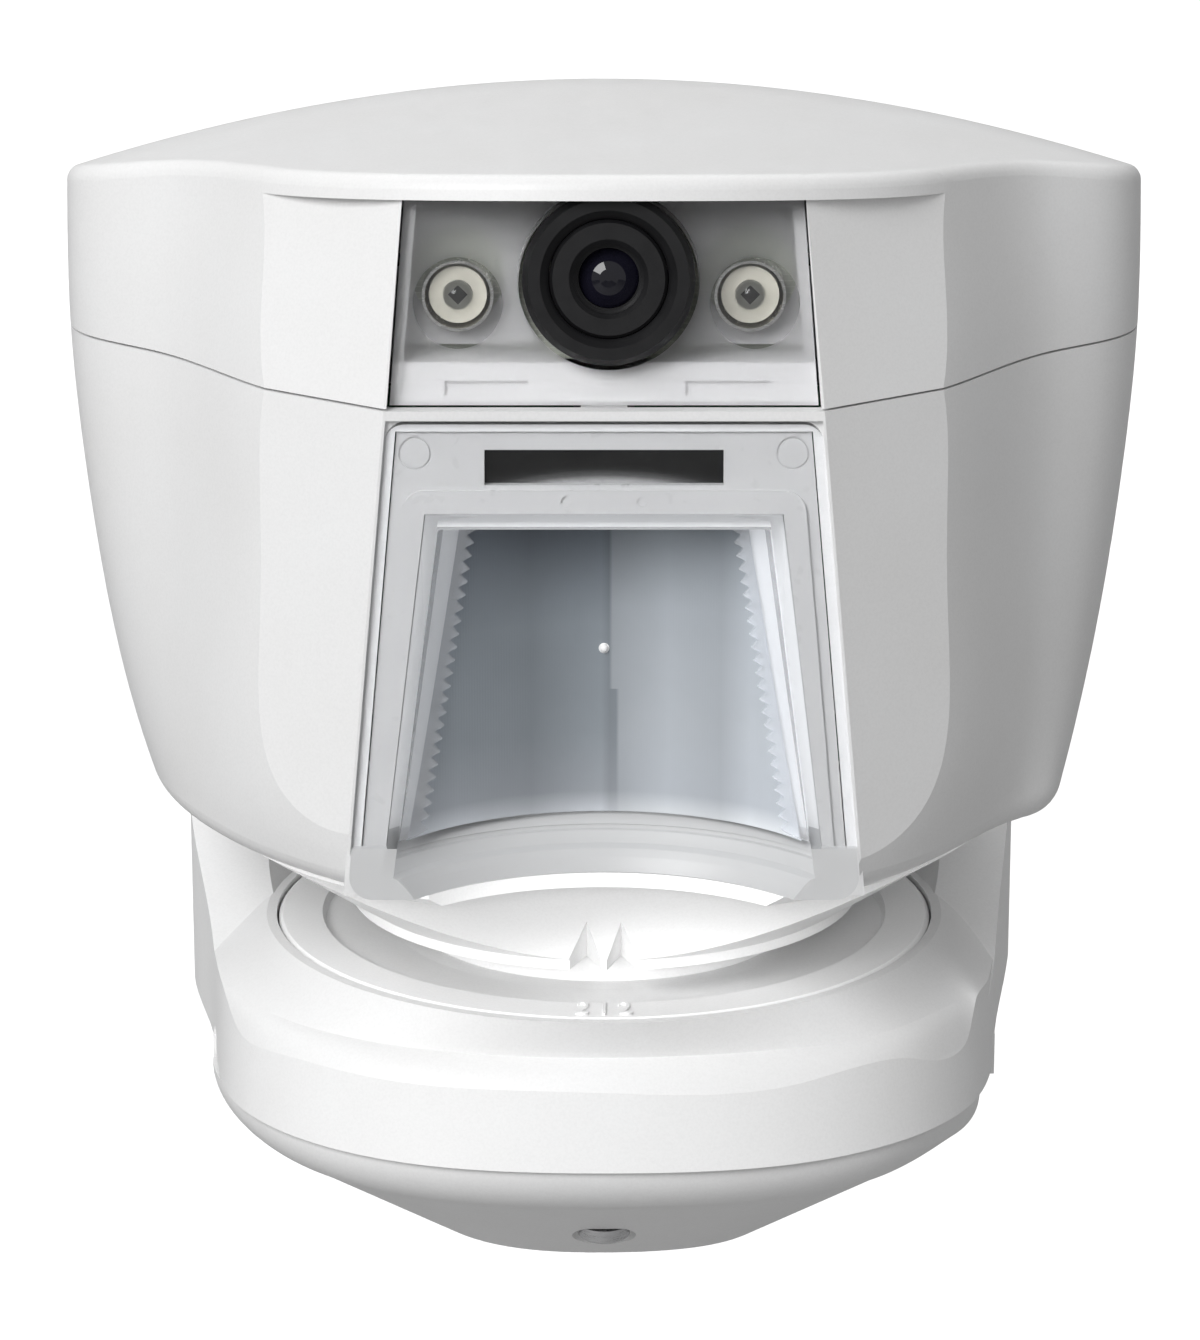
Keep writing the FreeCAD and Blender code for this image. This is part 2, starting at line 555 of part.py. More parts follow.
def make_camera():
    """Camera behind its matt window: tray, lamps, lens and board, all parallel to the upper front."""
    seam = dim("hood_seam")
    setback = dim("window_setback")
    sheet_in = dim("window_sheet")
    rise = dim("loft_top") - seam
    lean = (dim("plate_seam_depth") - dim("plate_top_depth")) / rise
    roof_under = dim("roof_top") - dim("brow_depth") - 1.3
    foot = seam + 0.35

    def camera_slab(front, back, half_low, half_high, low, high):
        """Tapered plate parallel to the upper front; front and back are depths behind it."""
        def ring(level, half):
            y = -dim("plate_seam_depth") + lean * (level - seam)
            points = [Vector(-half, y + front, level), Vector(half, y + front, level),
                      Vector(half, y + back, level), Vector(-half, y + back, level)]
            return Part.makePolygon(points + [points[0]])
        return Part.makeLoft([ring(low, half_low), ring(high, half_high)], True, True)

    def on_plate(x, z, depth):
        return Vector(x, -dim("plate_seam_depth") + lean * (z - seam) + depth, z)

    normal = Vector(0, -math.cos(math.atan(lean)), math.sin(math.atan(lean)))
    lens_place = on_plate(dim("lens_x"), dim("lens_z"), 0)
    lens_clear = rod(dim("lens_flange_radius") + 0.05, lens_place + normal * 8, lens_place - normal * 22)

    window = camera_slab(setback, setback + sheet_in, 27.55, 25.7, foot, roof_under)
    feature("camera_window", window.cut(lens_clear))

    tray_depth = dim("tray_depth")
    tray = camera_slab(setback + sheet_in + 0.2, setback + tray_depth, 27.55, 25.7, foot, roof_under)
    tray = tray.cut(camera_slab(0, setback + tray_depth - 1.4, 26.2, 24.2, seam + 1.2, roof_under - 1.2))
    bar_front = setback + sheet_in + 0.5
    bar_top = seam + dim("tray_bar_height")
    bar = camera_slab(bar_front, setback + tray_depth - 1.2, 26.8, 26.6, foot, bar_top)
    for x in (-15.0, 16.0):
        inset = block(x - 5.5, x + 5.5, -FAR, FAR, seam - 2, seam + 2.9)
        bar = bar.cut(camera_slab(0, bar_front + 0.5, 26.8, 26.6, seam - 2, bar_top).common(inset))
    tray = tray.fuse(bar)
    tray_back = setback + tray_depth
    tray = tray.cut(camera_slab(tray_back - 2.0, tray_back + 1, 25.4, 25.4, bar_top, bar_top + 1.1))
    tray = tray.cut(lens_clear)
    for x in (-dim("led_x"), dim("led_x")):
        place = on_plate(x, dim("led_z") + 1.6, tray_back)
        tray = tray.cut(rod(dim("led_hole_radius"), place + normal * 3, place - normal * 4))
        lamp = on_plate(x, dim("led_z"), 0)
        tray = tray.cut(rod(dim("led_radius") + 1.15, lamp, lamp + BACK * 20))
    feature("camera_tray", tray)

    board_front = tray_back + 1.0
    board_back = board_front + dim("board_thickness")
    board = camera_slab(board_front, board_back, 26.0, 24.5, seam + 4, roof_under - 1)
    feature("camera_board", board)

    def turned(name, label, radii_and_depths, place, tilt):
        """Round optical part revolved about its own axis, facing -Y."""
        points = [Vector(r, -d, 0) for r, d in radii_and_depths]
        face = Part.Face(Part.makePolygon(points + [points[0]]))
        solid = face.revolve(Vector(0, 0, 0), BACK, 360)
        item = doc.addObject("Part::Feature", name)
        item.Shape = solid
        return subpart(item, label, place, Rotation(RIGHT, -tilt))

    tilt = dim("lens_tilt")
    flange = dim("lens_flange_radius")
    barrel = dim("lens_barrel_radius")
    mouth = dim("lens_mouth_radius")
    glass = dim("lens_glass_radius")
    back = -dim("lens_back")
    turned("Form_hood_ring", "lens_flange",
           [(barrel + 0.1, back), (flange - 1.0, back), (flange - 0.6, 2.0), (flange - 1.4, 3.2),
            (barrel + 1.2, 3.2), (barrel + 0.1, 2.0)], lens_place, tilt)
    turned("Form_barrel", "lens_barrel",
           [(mouth, 1.9), (mouth + 0.6, 2.5), (barrel - 0.4, 2.5), (barrel, 2.0), (barrel, back),
            (glass, back), (glass, 0.2), (mouth - 0.4, 0.2), (mouth - 0.4, 0.7), (mouth, 1.0)],
           lens_place, tilt)
    turned("Form_glass", "lens_glass",
           [(0, 0.9), (1.2, 0.75), (2.2, 0.4), (glass - 0.4, -0.4), (glass - 0.05, -0.8),
            (glass - 0.05, -2.4), (0, -2.4)], lens_place, tilt)
    sensor = primitive("Box", "Sensor_chip", Vector(-4, 0, -4))
    sensor.setExpression("Length", "params.lens_barrel_radius * 1.05")
    sensor.setExpression("Width", "params.board_thickness * 0.6")
    sensor.setExpression("Height", "params.lens_barrel_radius * 1.05")
    on_board = on_plate(dim("lens_x"), dim("lens_z"), board_front - 0.02) + normal * 0.98
    half = dim("lens_barrel_radius") * 1.05 / 2
    upward = Vector(0, lean, 1).normalize()
    subpart(sensor, "image_sensor", on_board - RIGHT * half - upward * half,
            Rotation(RIGHT, -math.degrees(math.atan(lean))))

    domes = []
    bases = []
    reflectors = []
    before_board = camera_slab(0, board_front - 0.05, 30, 30, seam, dim("roof_top"))
    for x in (-dim("led_x"), dim("led_x")):
        front = on_plate(x, dim("led_z"), setback + sheet_in + 1.3)
        back = on_plate(x, dim("led_z"), board_front - 0.1)
        axis = (front - back).normalize()
        body = rod(dim("led_radius"), back, front - axis * 2.2).common(before_board)
        bases.append(body)
        cup = rod(dim("led_radius") + dim("led_cup_wall"), back, front - axis * 1.2).common(before_board)
        reflectors.append(cup.cut(Part.makeCone(
            dim("led_radius") + 0.05, dim("led_radius") + 0.7, (front - back).Length + 1, back, axis)))
        ball = Part.makeSphere(dim("led_dome_radius"), front - axis * 2.1)
        domes.append(ball.cut(body))
    feature("led_lenses", Part.makeCompound(domes))
    feature("led_bodies", Part.makeCompound(bases))
    feature("led_reflectors", Part.makeCompound(reflectors))


# ---------------------------------------------------------------- bracket and bottom cover

# plan of the bracket at its lower edge: front centre, corner and flank points, right-hand side
BRACKET_PLAN = [(0.0, 53.0), (27.5, 48.9), (42.5, 39.2), (51.0, 27.0), (56.0, 0.0), (60.6, -34.0)]
FLANK_END_Y = 42.0


def bracket_outline(level, front_inset, inset=0.0):
    """Closed plan: curved front and sides, 45 degree flanks, flat back on the wall."""
    wall = dim("axis_to_wall")
    deepest = BRACKET_PLAN[0][1]
    right = []
    for x, forward in BRACKET_PLAN:
        share = max(0.0, forward / deepest)
        right.append(Vector(x * (1 - inset / 55.0) - 0.4 * front_inset * share * (x > 0),
                            -forward + (front_inset + inset) * share, level))
    left = [Vector(-p.x, p.y, level) for p in reversed(right)]
    front = spline_edge(left + right[1:], Vector(-0.12, -1, 0), Vector(0.12, 1, 0))
    side = right[-1]
    flank = Vector(side.x, FLANK_END_Y, level)
    corner = Vector(dim("back_half") - 0.4 * inset, wall - inset, level)
    back = [side, flank, corner, Vector(-corner.x, corner.y, level),
            Vector(-flank.x, flank.y, level), left[0]]
    lines = [Part.makeLine(a, b) for a, b in zip(back, back[1:])]
    return Part.Wire([front] + lines)


def arm_profile_cutter():
    """Everything above the side view's top line, which rises from the shoulder to the arms."""
    top = dim("arm_top")
    points = [Vector(-FAR, -60, -12.5), Vector(-FAR, -34, -11.5), Vector(-FAR, -12, -7.0),
              Vector(-FAR, 15, 4.4), Vector(-FAR, 38, 13.4), Vector(-FAR, 62, top)]
    curve = spline_edge(points, Vector(0, 1, -0.03), Vector(0, 1, 0.04))
    edges = [curve, Part.makeLine(points[-1], Vector(-FAR, 62, FAR)),
             Part.makeLine(Vector(-FAR, 62, FAR), Vector(-FAR, -60, FAR)),
             Part.makeLine(Vector(-FAR, -60, FAR), points[0])]
    return Part.Face(Part.Wire(edges)).extrude(Vector(2 * FAR, 0, 0))


def quarter_points(radius, level, degrees):
    angles = [math.radians(a) for a in degrees]
    return [Vector(radius * math.cos(a), radius * math.sin(a), level) for a in angles]


def ring_wire(radius, level):
    """Circle in four arcs, split where the pot outline is split."""
    arcs = [(180, 270, 360), (0, 25, 50), (50, 90, 130), (130, 155, 180)]
    return Part.Wire([Part.Arc(*quarter_points(radius, level, span)).toShape() for span in arcs])


def pot_outline(front, level, rear_y, turn_x):
    """Closed plan through the given right-hand front points, with a straight rear edge."""
    right = [Vector(x, y, level) for x, y in front]
    left = [Vector(-p.x, p.y, level) for p in reversed(right)]
    nose = spline_edge(left + right[1:], Vector(-0.15, -1, 0), Vector(0.15, 1, 0))
    turn = Vector(turn_x, rear_y, level)
    side = right[-1]
    bend = Part.BezierCurve()
    bend.setPoles([side, side + Vector(2.0, 0.5 * rear_y, 0), turn + Vector(0.23 * turn_x, 0, 0), turn])
    mirror = Part.BezierCurve()
    mirror.setPoles([Vector(-p.x, p.y, p.z) for p in reversed(bend.getPoles())])
    rear = Part.makeLine(turn, Vector(-turn.x, rear_y, level))
    return Part.Wire([nose, bend.toShape(), rear, mirror.toShape()])


def bracket_front_points(front_inset):
    deepest = BRACKET_PLAN[0][1]
    points = []
    for x, forward in BRACKET_PLAN[:5]:
        share = forward / deepest
        points.append((x - 0.4 * front_inset * share * (x > 0), front_inset * share - forward))
    return points


def wall_hole_places():
    wide = dim("screw_spacing_wide") / 2
    high = dim("screw_spacing_high") / 2
    centre = dim("pattern_centre")
    return [(x, centre + z) for x in (-wide, wide) for z in (-high, high)]


def shoulder_cap(seam, shoulder, lean, ring_radius):
    """Space under the rounded shoulder and the slope up to the ring; wider than the bracket lower down."""
    roll = dim("shoulder_round")
    start = shoulder - 0.8 * roll
    crossing = lean * (start - seam)
    levels = [(start - 0.55 * roll, crossing - 0.32 * roll), (start, crossing),
              (start + 0.5 * roll, crossing + 0.34 * roll), (start + 0.87 * roll, crossing + 0.74 * roll),
              (start + 1.16 * roll, crossing + 1.35 * roll)]
    plans = [pot_outline(bracket_front_points(step), level, 40.0, 44.0) for level, step in levels]
    skirt_plan = pot_outline(bracket_front_points(-6.0), seam - 1.0, 40.0, 44.0)
    skirt = Part.makeLoft([skirt_plan, plans[0]], True, True)
    rounding = Part.makeLoft(plans, True, False)
    slope = Part.makeLoft([plans[-1], ring_wire(ring_radius, 0)], True, True)
    return skirt.fuse(rounding).fuse(slope)


def make_bracket():
    """Wall bracket: rounded shoulder round the ring's seat, two arms and the wall plate."""
    wall = dim("axis_to_wall")
    seam = -dim("bracket_seam")
    shoulder = -dim("shoulder_level")
    inset = dim("shoulder_inset")
    top = dim("arm_top")
    skin = dim("bracket_skin")
    ring = dim("ring_seat")
    thick = dim("back_thickness")

    steep = inset / (shoulder - seam)
    outer = Part.makeLoft([bracket_outline(seam, 0), bracket_outline(top, steep * (top - seam))], True, True)
    hollow = Part.makeLoft([bracket_outline(seam, 0, skin),
                            bracket_outline(top, steep * (top - seam), skin)], True, True)
    cap = shoulder_cap(seam, shoulder, steep, ring + 1.4)
    body = outer.cut(arm_profile_cutter().cut(cap))
    body = body.cut(Part.makeCylinder(ring + 1.2, FAR, Vector(0, 0, 0), UP))
    body = body.cut(Part.makeCone(ring + 1.2, ring + 13.0, top + 0.1, Vector(0, 0, 0), UP))

    ceiling = -dim("ring_thickness") - 3.6
    body = body.cut(hollow.common(block(-FAR, FAR, -FAR, wall - thick, seam - 1, ceiling)))
    arm_hollow = hollow.common(block(-FAR, FAR, 50, wall - thick, ceiling - 1, top - skin))
    body = body.cut(arm_hollow.common(block(-50, 50, -FAR, FAR, -FAR, FAR)))
    body = body.cut(Part.makeCylinder(ring, FAR, Vector(0, 0, -dim("ring_thickness") - 0.2), UP))
    body = body.cut(Part.makeCylinder(dim("ring_bore") + 4, 30, Vector(0, 0, -25), UP))

    plate = block(-dim("back_half") + 1, dim("back_half") - 1, wall - thick, wall, 0, dim("back_top"))
    plate = plate.makeFillet(8.0, edges_where(
        plate, lambda e: e.BoundBox.ZMin > dim("back_top") - 1 and e.BoundBox.XLength < 1))
    body = body.fuse(plate)
    for x, z in wall_hole_places():
        body = body.cut(rod(dim("wall_hole_radius"), Vector(x, wall - thick - 20, z), Vector(x, wall + 1, z)))
    tamper = Vector(0, wall - thick - 1, dim("wall_tamper_z"))
    body = body.cut(rod(dim("plunger_radius") + 0.3, tamper, tamper + BACK * (thick + 2)))
    for x in (-1, 1):
        tab = block(min(x * 49.0, x * 55.4), max(x * 49.0, x * 55.4), -8, -2, seam - 3.0, seam + 3.0)
        body = body.fuse(tab.cut(hollow))
    swept = Part.makeCylinder(dim("clamp_radius") + 0.6, 4.0, Vector(0, 0, ceiling - 3.8), UP)
    screw_y = dim("cover_screw_y")
    for x, y in ((-30, 46), (30, 46), (0, screw_y)):
        post = rod(4.0, Vector(x, y, seam + 0.6), Vector(x, y, ceiling + 0.4))
        body = body.fuse(post.cut(swept))
    thread = rod(dim("screw_shank") + 0.08, Vector(0, screw_y, seam), Vector(0, screw_y, -10))
    body = body.cut(thread)
    feature("bracket_shell", body)


def bottom_outline(level, shrink):
    """Plan of the bottom cover: the bracket's front, closed by a straight rear edge."""
    front = [(x * shrink, -y * shrink) for x, y in BRACKET_PLAN[:5]]
    return pot_outline(front, level, 52.0 * shrink, 44.0 * shrink)


def make_bottom_cover():
    """Bowl that closes the bracket from below, held by one screw at the front."""
    seam = -dim("bracket_seam") - dim("seam_gap")
    rim = seam - dim("bowl_rim")
    floor = -dim("bowl_bottom")
    skin = dim("wall_skin")
    shrink_rim = 0.9
    shrink_floor = dim("bowl_flat") / 52.0
    rounding = [(seam, 0.985), (seam - 0.37 * dim("bowl_rim"), 0.978), (seam - 0.72 * dim("bowl_rim"), 0.95),
                (rim, shrink_rim)]

    def bowl(inset):
        share = 1 - inset / 53.0
        upper = Part.makeLoft([bottom_outline(z, shrink * share) for z, shrink in rounding], True, False)
        lower = Part.makeLoft([bottom_outline(rim, shrink_rim * share),
                               bottom_outline(floor + inset, shrink_floor * share)], True, True)
        return upper.fuse(lower)

    outer = bowl(0)
    outer = outer.makeFillet(3.0, edges_where(outer, lambda e: e.BoundBox.ZMax < floor + 0.05))
    shell = outer.cut(bowl(skin))
    y = dim("cover_screw_y")
    screw_floor = -36.0
    pillar = rod(6.0, Vector(0, y, screw_floor - 1.0), Vector(0, y, seam - 1)).common(outer)
    shell = shell.fuse(pillar)
    shell = shell.cut(rod(4.4, Vector(0, y, floor - 5), Vector(0, y, screw_floor + 2.2)))
    shell = shell.cut(rod(dim("screw_shank") + 0.35, Vector(0, y, floor - 5), Vector(0, y, 0)))
    for x in (-1, 1):
        notch = block(min(x * 48, x * 60), max(x * 48, x * 60), -8.6, -1.4, seam - 3.4, 0)
        shell = shell.cut(notch)
    feature("bottom_cover", shell)


def revolved_body(name, label, profile, shift=Vector(0, 0, 0), turn=Rotation(), tool=None):
    """PartDesign body revolved about Z from a closed (radius, height) profile."""
    body = doc.addObject("PartDesign::Body", name)
    plane = [f for f in body.Origin.OriginFeatures if f.Role == "XZ_Plane"][0]
    sketch = body.newObject("Sketcher::SketchObject", name + "_profile")
    sketch.AttachmentSupport = (plane, [""])
    sketch.MapMode = "FlatFace"
    points = [Vector(r, z, 0) for r, z in profile]
    for a, b in zip(points, points[1:] + points[:1]):
        sketch.addGeometry(Part.LineSegment(a, b), False)
    turned = body.newObject("PartDesign::Revolution", name + "_turned")
    turned.Profile = sketch
    turned.ReferenceAxis = (sketch, ["V_Axis"])
    turned.Angle = 360
    doc.recompute()
    if tool:
        slot = body.newObject("Sketcher::SketchObject", name + "_recess")
        xy = [f for f in body.Origin.OriginFeatures if f.Role == "XY_Plane"][0]
        slot.AttachmentSupport = (xy, [""])
        slot.MapMode = "FlatFace"
        slot.AttachmentOffset = Placement(Vector(0, 0, tool["level"]), Rotation())
        arm, half = tool["arm"], tool["half"]
        outline = [(half, half), (arm, half), (arm, -half), (half, -half), (half, -arm), (-half, -arm),
                   (-half, -half), (-arm, -half), (-arm, half), (-half, half), (-half, arm), (half, arm)]
        corners = [Vector(x, y, 0) for x, y in outline]
        for a, b in zip(corners, corners[1:] + corners[:1]):
            slot.addGeometry(Part.LineSegment(a, b), False)
        pocket = body.newObject("PartDesign::Pocket", name + "_drive")
        pocket.Profile = slot
        pocket.Length = tool["depth"]
        doc.recompute()
    if label:
        subpart(body, label, shift, turn)
    return body


def screw_profile(length):
    """Pan-head screw, its head's top at height 0, pointing down."""
    head = dim("screw_head")
    shank = dim("screw_shank")
    return [(0, 0), (head - 0.7, 0), (head, -0.7), (head, -2.0), (shank, -2.0), (shank, 0.8 - length),
            (0.4, -length), (0, -length)]


CROSS = {"level": 0.0, "arm": 1.7, "half": 0.4, "depth": 1.3}


def screw_set(label, length, heads, direction):
    """Identical pan-head screws kept as one node; direction is the way each head faces."""
    master = revolved_body("Master_" + label, None, screw_profile(length), tool=CROSS)
    turn = Rotation(UP, direction)
    copies = [master.Shape.transformed(Placement(place, turn).toMatrix()) for place in heads]
    feature(label, Part.makeCompound(copies))


def make_swivel():
    """Dial ring, seal, clamp plate and lock screw of the swivel, and the bottom cover's screw."""
    bore = dim("ring_bore")
    top = 0.0
    terrace = dim("ring_terrace_radius")
    drop = dim("ring_terrace_drop")
    low = -dim("ring_thickness")
    outer = dim("ring_radius")
    revolved_body("Dial_ring", "dial_ring", [
        (bore, low), (outer, low), (outer, top - 0.6), (outer - 0.6, top), (terrace + 0.5, top),
        (terrace, top - drop), (bore + 3.0, top - drop - 0.5), (bore, top - drop - 0.5)])

    seal = primitive("Torus", "Neck_seal", Vector(0, 0, -dim("ring_thickness") - 1.6),
                     Radius1="params.seal_radius - 1.3", Radius2="params.seal_section")
    subpart(seal, "neck_seal", Vector(0, 0, -dim("ring_thickness") - 1.6))

    disc = primitive("Cylinder", "Clamp_disc", Vector(0, 0, 0),
                     Radius="params.clamp_radius", Height="params.clamp_thickness")
    hole = primitive("Cylinder", "Clamp_hole", Vector(0, 0, -1),
                     Radius="params.lock_screw_radius + 0.06", Height="params.clamp_thickness * 3")
    clamp = cut("Clamp_plate", disc, hole)
    neck_low = -dim("neck_bottom")
    subpart(clamp, "swivel_clamp_plate", Vector(0, 0, neck_low - dim("clamp_thickness")))
    thread = dim("lock_screw_radius")
    revolved_body("Lock_screw", "swivel_lock_screw", [
        (0, 0), (4.4, 0), (5.0, -0.6), (5.0, -3.4), (thread, -3.4), (thread, -9.0), (0, -9.0)],
        Vector(0, 0, neck_low - dim("clamp_thickness") - 3.5), Rotation(RIGHT, 180), tool=CROSS)
    y = dim("cover_screw_y")
    revolved_body("Cover_screw", "bottom_cover_screw", [
        (0, 0), (3.2, 0), (3.6, -0.4), (3.6, -2.0), (1.5, -2.0), (1.5, -24.0), (0.4, -24.8), (0, -24.8)],
        Vector(0, y, -36.2), Rotation(RIGHT, 180), tool=CROSS)


# ---------------------------------------------------------------- inside the head

def padded_body(name, label, outline, thickness, holes, shift, turn):
    """PartDesign plate: a padded outline with round through holes."""
    body = doc.addObject("PartDesign::Body", name)
    plane = [f for f in body.Origin.OriginFeatures if f.Role == "XY_Plane"][0]
    sketch = body.newObject("Sketcher::SketchObject", name + "_outline")
    sketch.AttachmentSupport = (plane, [""])
    sketch.MapMode = "FlatFace"
    points = [Vector(x, y, 0) for x, y in outline]
    for a, b in zip(points, points[1:] + points[:1]):
        sketch.addGeometry(Part.LineSegment(a, b), False)
    for x, y, radius in holes:
        sketch.addGeometry(Part.Circle(Vector(x, y, 0), UP, radius), False)
    pad = body.newObject("PartDesign::Pad", name + "_plate")
    pad.Profile = sketch
    pad.setExpression("Length", thickness)
    doc.recompute()
    return subpart(body, label, shift, turn)


def make_inside():
    """Electronics, batteries, optics and switches inside the head."""
    board_y = dim("board_y")
    half = dim("board_half")
    low = dim("board_low")
    high = dim("board_high")
    upright = Rotation(RIGHT, 90)
    outline = [(-half, low + 6), (-half + 6, low), (half - 6, low), (half, low + 6),
               (half, high), (-half, high)]
    holes = [(x, z, dim("screw_shank") + 0.1) for x, z in BOARD_SCREWS]
    padded_body("Main_board", "main_board", outline, "params.board_thickness", holes,
                Vector(0, board_y, 0), upright)
    front = board_y - dim("board_thickness")
    screw_set("board_screws", 9.0, [Vector(x, front - 2.05, z) for x, z in BOARD_SCREWS], Vector(0, -1, 0))
    # left, right, height, low and high edge of each chip
    chips = [(36, 44, 1.3, 44, 52), (-45, -37, 1.0, 46, 53), (37, 42, 1.8, 58, 61), (-44, -38, 2.6, 58, 62)]
    chips = [block(x0, x1, front - tall, front - 0.02, z0, z1) for x0, x1, tall, z0, z1 in chips]
    feature("board_chips", Part.makeCompound(chips))
    antenna = primitive("Cylinder", "Antenna_rod", Vector(0, 0, 0), Radius="params.screw_shank * 0.5",
                        Height="params.board_high - params.board_low - 10")
    subpart(antenna, "antenna", Vector(47, front - 0.9, low + 8))

    back = board_y + 0.1
    length = dim("cell_length")
    cell_low = dim("cell_low")
    pitch = dim("cell_pitch")
    holder = block(-35, 35, back, back + 6, cell_low - 4, cell_low + length + 4)
    holder = holder.fuse(block(-29.5, 29.5, back, 18.0, cell_low - 4, cell_low + length + 4))
    for index in (-1, 0, 1):
        x = index * pitch
        seat = rod(dim("cell_radius") + 0.3, Vector(x, dim("cell_y"), cell_low - 1.6),
                   Vector(x, dim("cell_y"), cell_low + length + 1.6))
        mouth = block(x - 7.4, x + 7.4, dim("cell_y"), 40, cell_low - 1.6, cell_low + length + 1.6)
        holder = holder.cut(seat).cut(mouth)
    for x, z in BOARD_SCREWS:
        holder = holder.cut(rod(dim("screw_shank"), Vector(x, back - 1, z), Vector(x, back + 7, z)))
    feature("battery_holder", holder)

    cells = []
    contacts = []
    for index in (-1, 0, 1):
        x = index * pitch
        y = dim("cell_y")
        can = rod(dim("cell_radius"), Vector(x, y, cell_low), Vector(x, y, cell_low + length - 0.8))
        knob = rod(2.6, Vector(x, y, cell_low + length - 0.8), Vector(x, y, cell_low + length))
        cells.append(can.fuse(knob))
        for z in (cell_low - 1.55, cell_low + length + 1.05):
            contacts.append(block(x - 4, x + 4, y - 5, y + 5, z, z + 0.5))
            if z < cell_low:
                contacts[-1] = contacts[-1].fuse(rod(1.8, Vector(x, y, z + 0.5), Vector(x, y, cell_low)))
            else:
                contacts[-1] = contacts[-1].fuse(rod(1.4, Vector(x, y, cell_low + length), Vector(x, y, z)))
    feature("battery_cells", Part.makeCompound(cells))
    feature("battery_contacts", Part.makeCompound(contacts))

    mirror = tube(44.0, 42.2, 27.0, 64.0, Vector(0, -62, 0)).common(block(-22, 22, -40, 0, 0, FAR))
    feature("mirror_optics", mirror)
    sensor_z = 72.4
    padded_body("Sensor_board", "sensor_board", [(-20, -40), (20, -40), (20, -15.2), (-20, -15.2)],
                "params.board_thickness", [], Vector(0, 0, sensor_z), Rotation())
    cans = [rod(4.6, Vector(x, -30, sensor_z - 4.4), Vector(x, -30, sensor_z - 0.02)) for x in (-9, 9)]
    feature("pir_sensors", Part.makeCompound(cans))

    switch_z = dim("hood_seam") - 9.5
    switch = block(-4, 4, -36, -30, switch_z, switch_z + 6)
    bore = rod(dim("plunger_radius") + 0.06, Vector(0, -37, switch_z + 3.6), Vector(0, -31, switch_z + 3.6))
    feature("cover_tamper_switch", switch.cut(bore))
    plunger = primitive("Cylinder", "Cover_plunger", Vector(0, 0, 0), BACK,
                        Radius="params.plunger_radius", Height="params.plunger_radius * 5")
    subpart(plunger, "cover_tamper_plunger", Vector(0, -42.2, switch_z + 3.6), Rotation(UP, BACK))

    button_z = low + 16
    base = block(-43.5, -36.5, front - 2.6, front - 0.02, button_z - 3.5, button_z + 3.5)
    button_seat = Vector(-40, front - 3, button_z)
    bore = rod(dim("button_radius") + 0.06, button_seat, button_seat + BACK * 1.8)
    feature("enrol_switch", base.cut(bore))
    button = primitive("Cylinder", "Enrol_cap", Vector(0, 0, 0), BACK,
                       Radius="params.button_radius", Height="params.button_radius")
    subpart(button, "enrol_button", Vector(-40, front - 4.1, button_z), Rotation(UP, BACK))

    seam = dim("hood_seam")
    strip = Part.Face(head_outline(HEAD_STATIONS[3], 3.0)).cut(Part.Face(head_outline(HEAD_STATIONS[3], 4.4)))
    gasket = strip.extrude(Vector(0, 0, 1.6))
    gasket.translate(Vector(0, 0, 0.3))
    gasket = gasket.common(block(-FAR, FAR, -20, FAR, 0, FAR))
    feature("hood_gasket", gasket)
    hood_heads = [Vector(x, HOOD_SCREW_Y, seam - 8.05) for x in (-HOOD_SCREW_X, HOOD_SCREW_X)]
    screw_set("hood_screws", 12.0, hood_heads, Vector(0, 0, -1))


def make_wall_tamper():
    """Switch in the bracket whose plunger feels the wall."""
    wall = dim("axis_to_wall")
    inner = wall - dim("back_thickness")
    z = dim("wall_tamper_z")
    housing = block(-5, 5, inner - 8, inner, z - 4.5, z + 4.5)
    housing = housing.cut(rod(dim("plunger_radius") + 0.06, Vector(0, inner - 6, z), Vector(0, inner + 1, z)))
    feature("wall_tamper_switch", housing)
    plunger = primitive("Cylinder", "Wall_plunger", Vector(0, 0, 0), BACK,
                        Radius="params.plunger_radius", Height="params.back_thickness + 3.5")
    subpart(plunger, "wall_tamper_plunger", Vector(0, inner - 3.5, z), Rotation(UP, BACK))


make_head_shells()
make_window()
make_camera()
make_bracket()
make_bottom_cover()
make_swivel()
make_inside()
make_wall_tamper()
doc.recompute()

for item in doc.Objects:
    if "Invalid" in item.State or "Error" in item.State:
        raise RuntimeError("failed object: " + item.Name)
os.makedirs("parts", exist_ok=True)
for item in SUBPARTS:
    shape = item.Shape
    if shape.isNull() or not shape.isValid():
        raise RuntimeError("bad shape: " + item.Label)
    shape.exportStep(os.path.join("parts", item.Label + ".step"))
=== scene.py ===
import json
import math

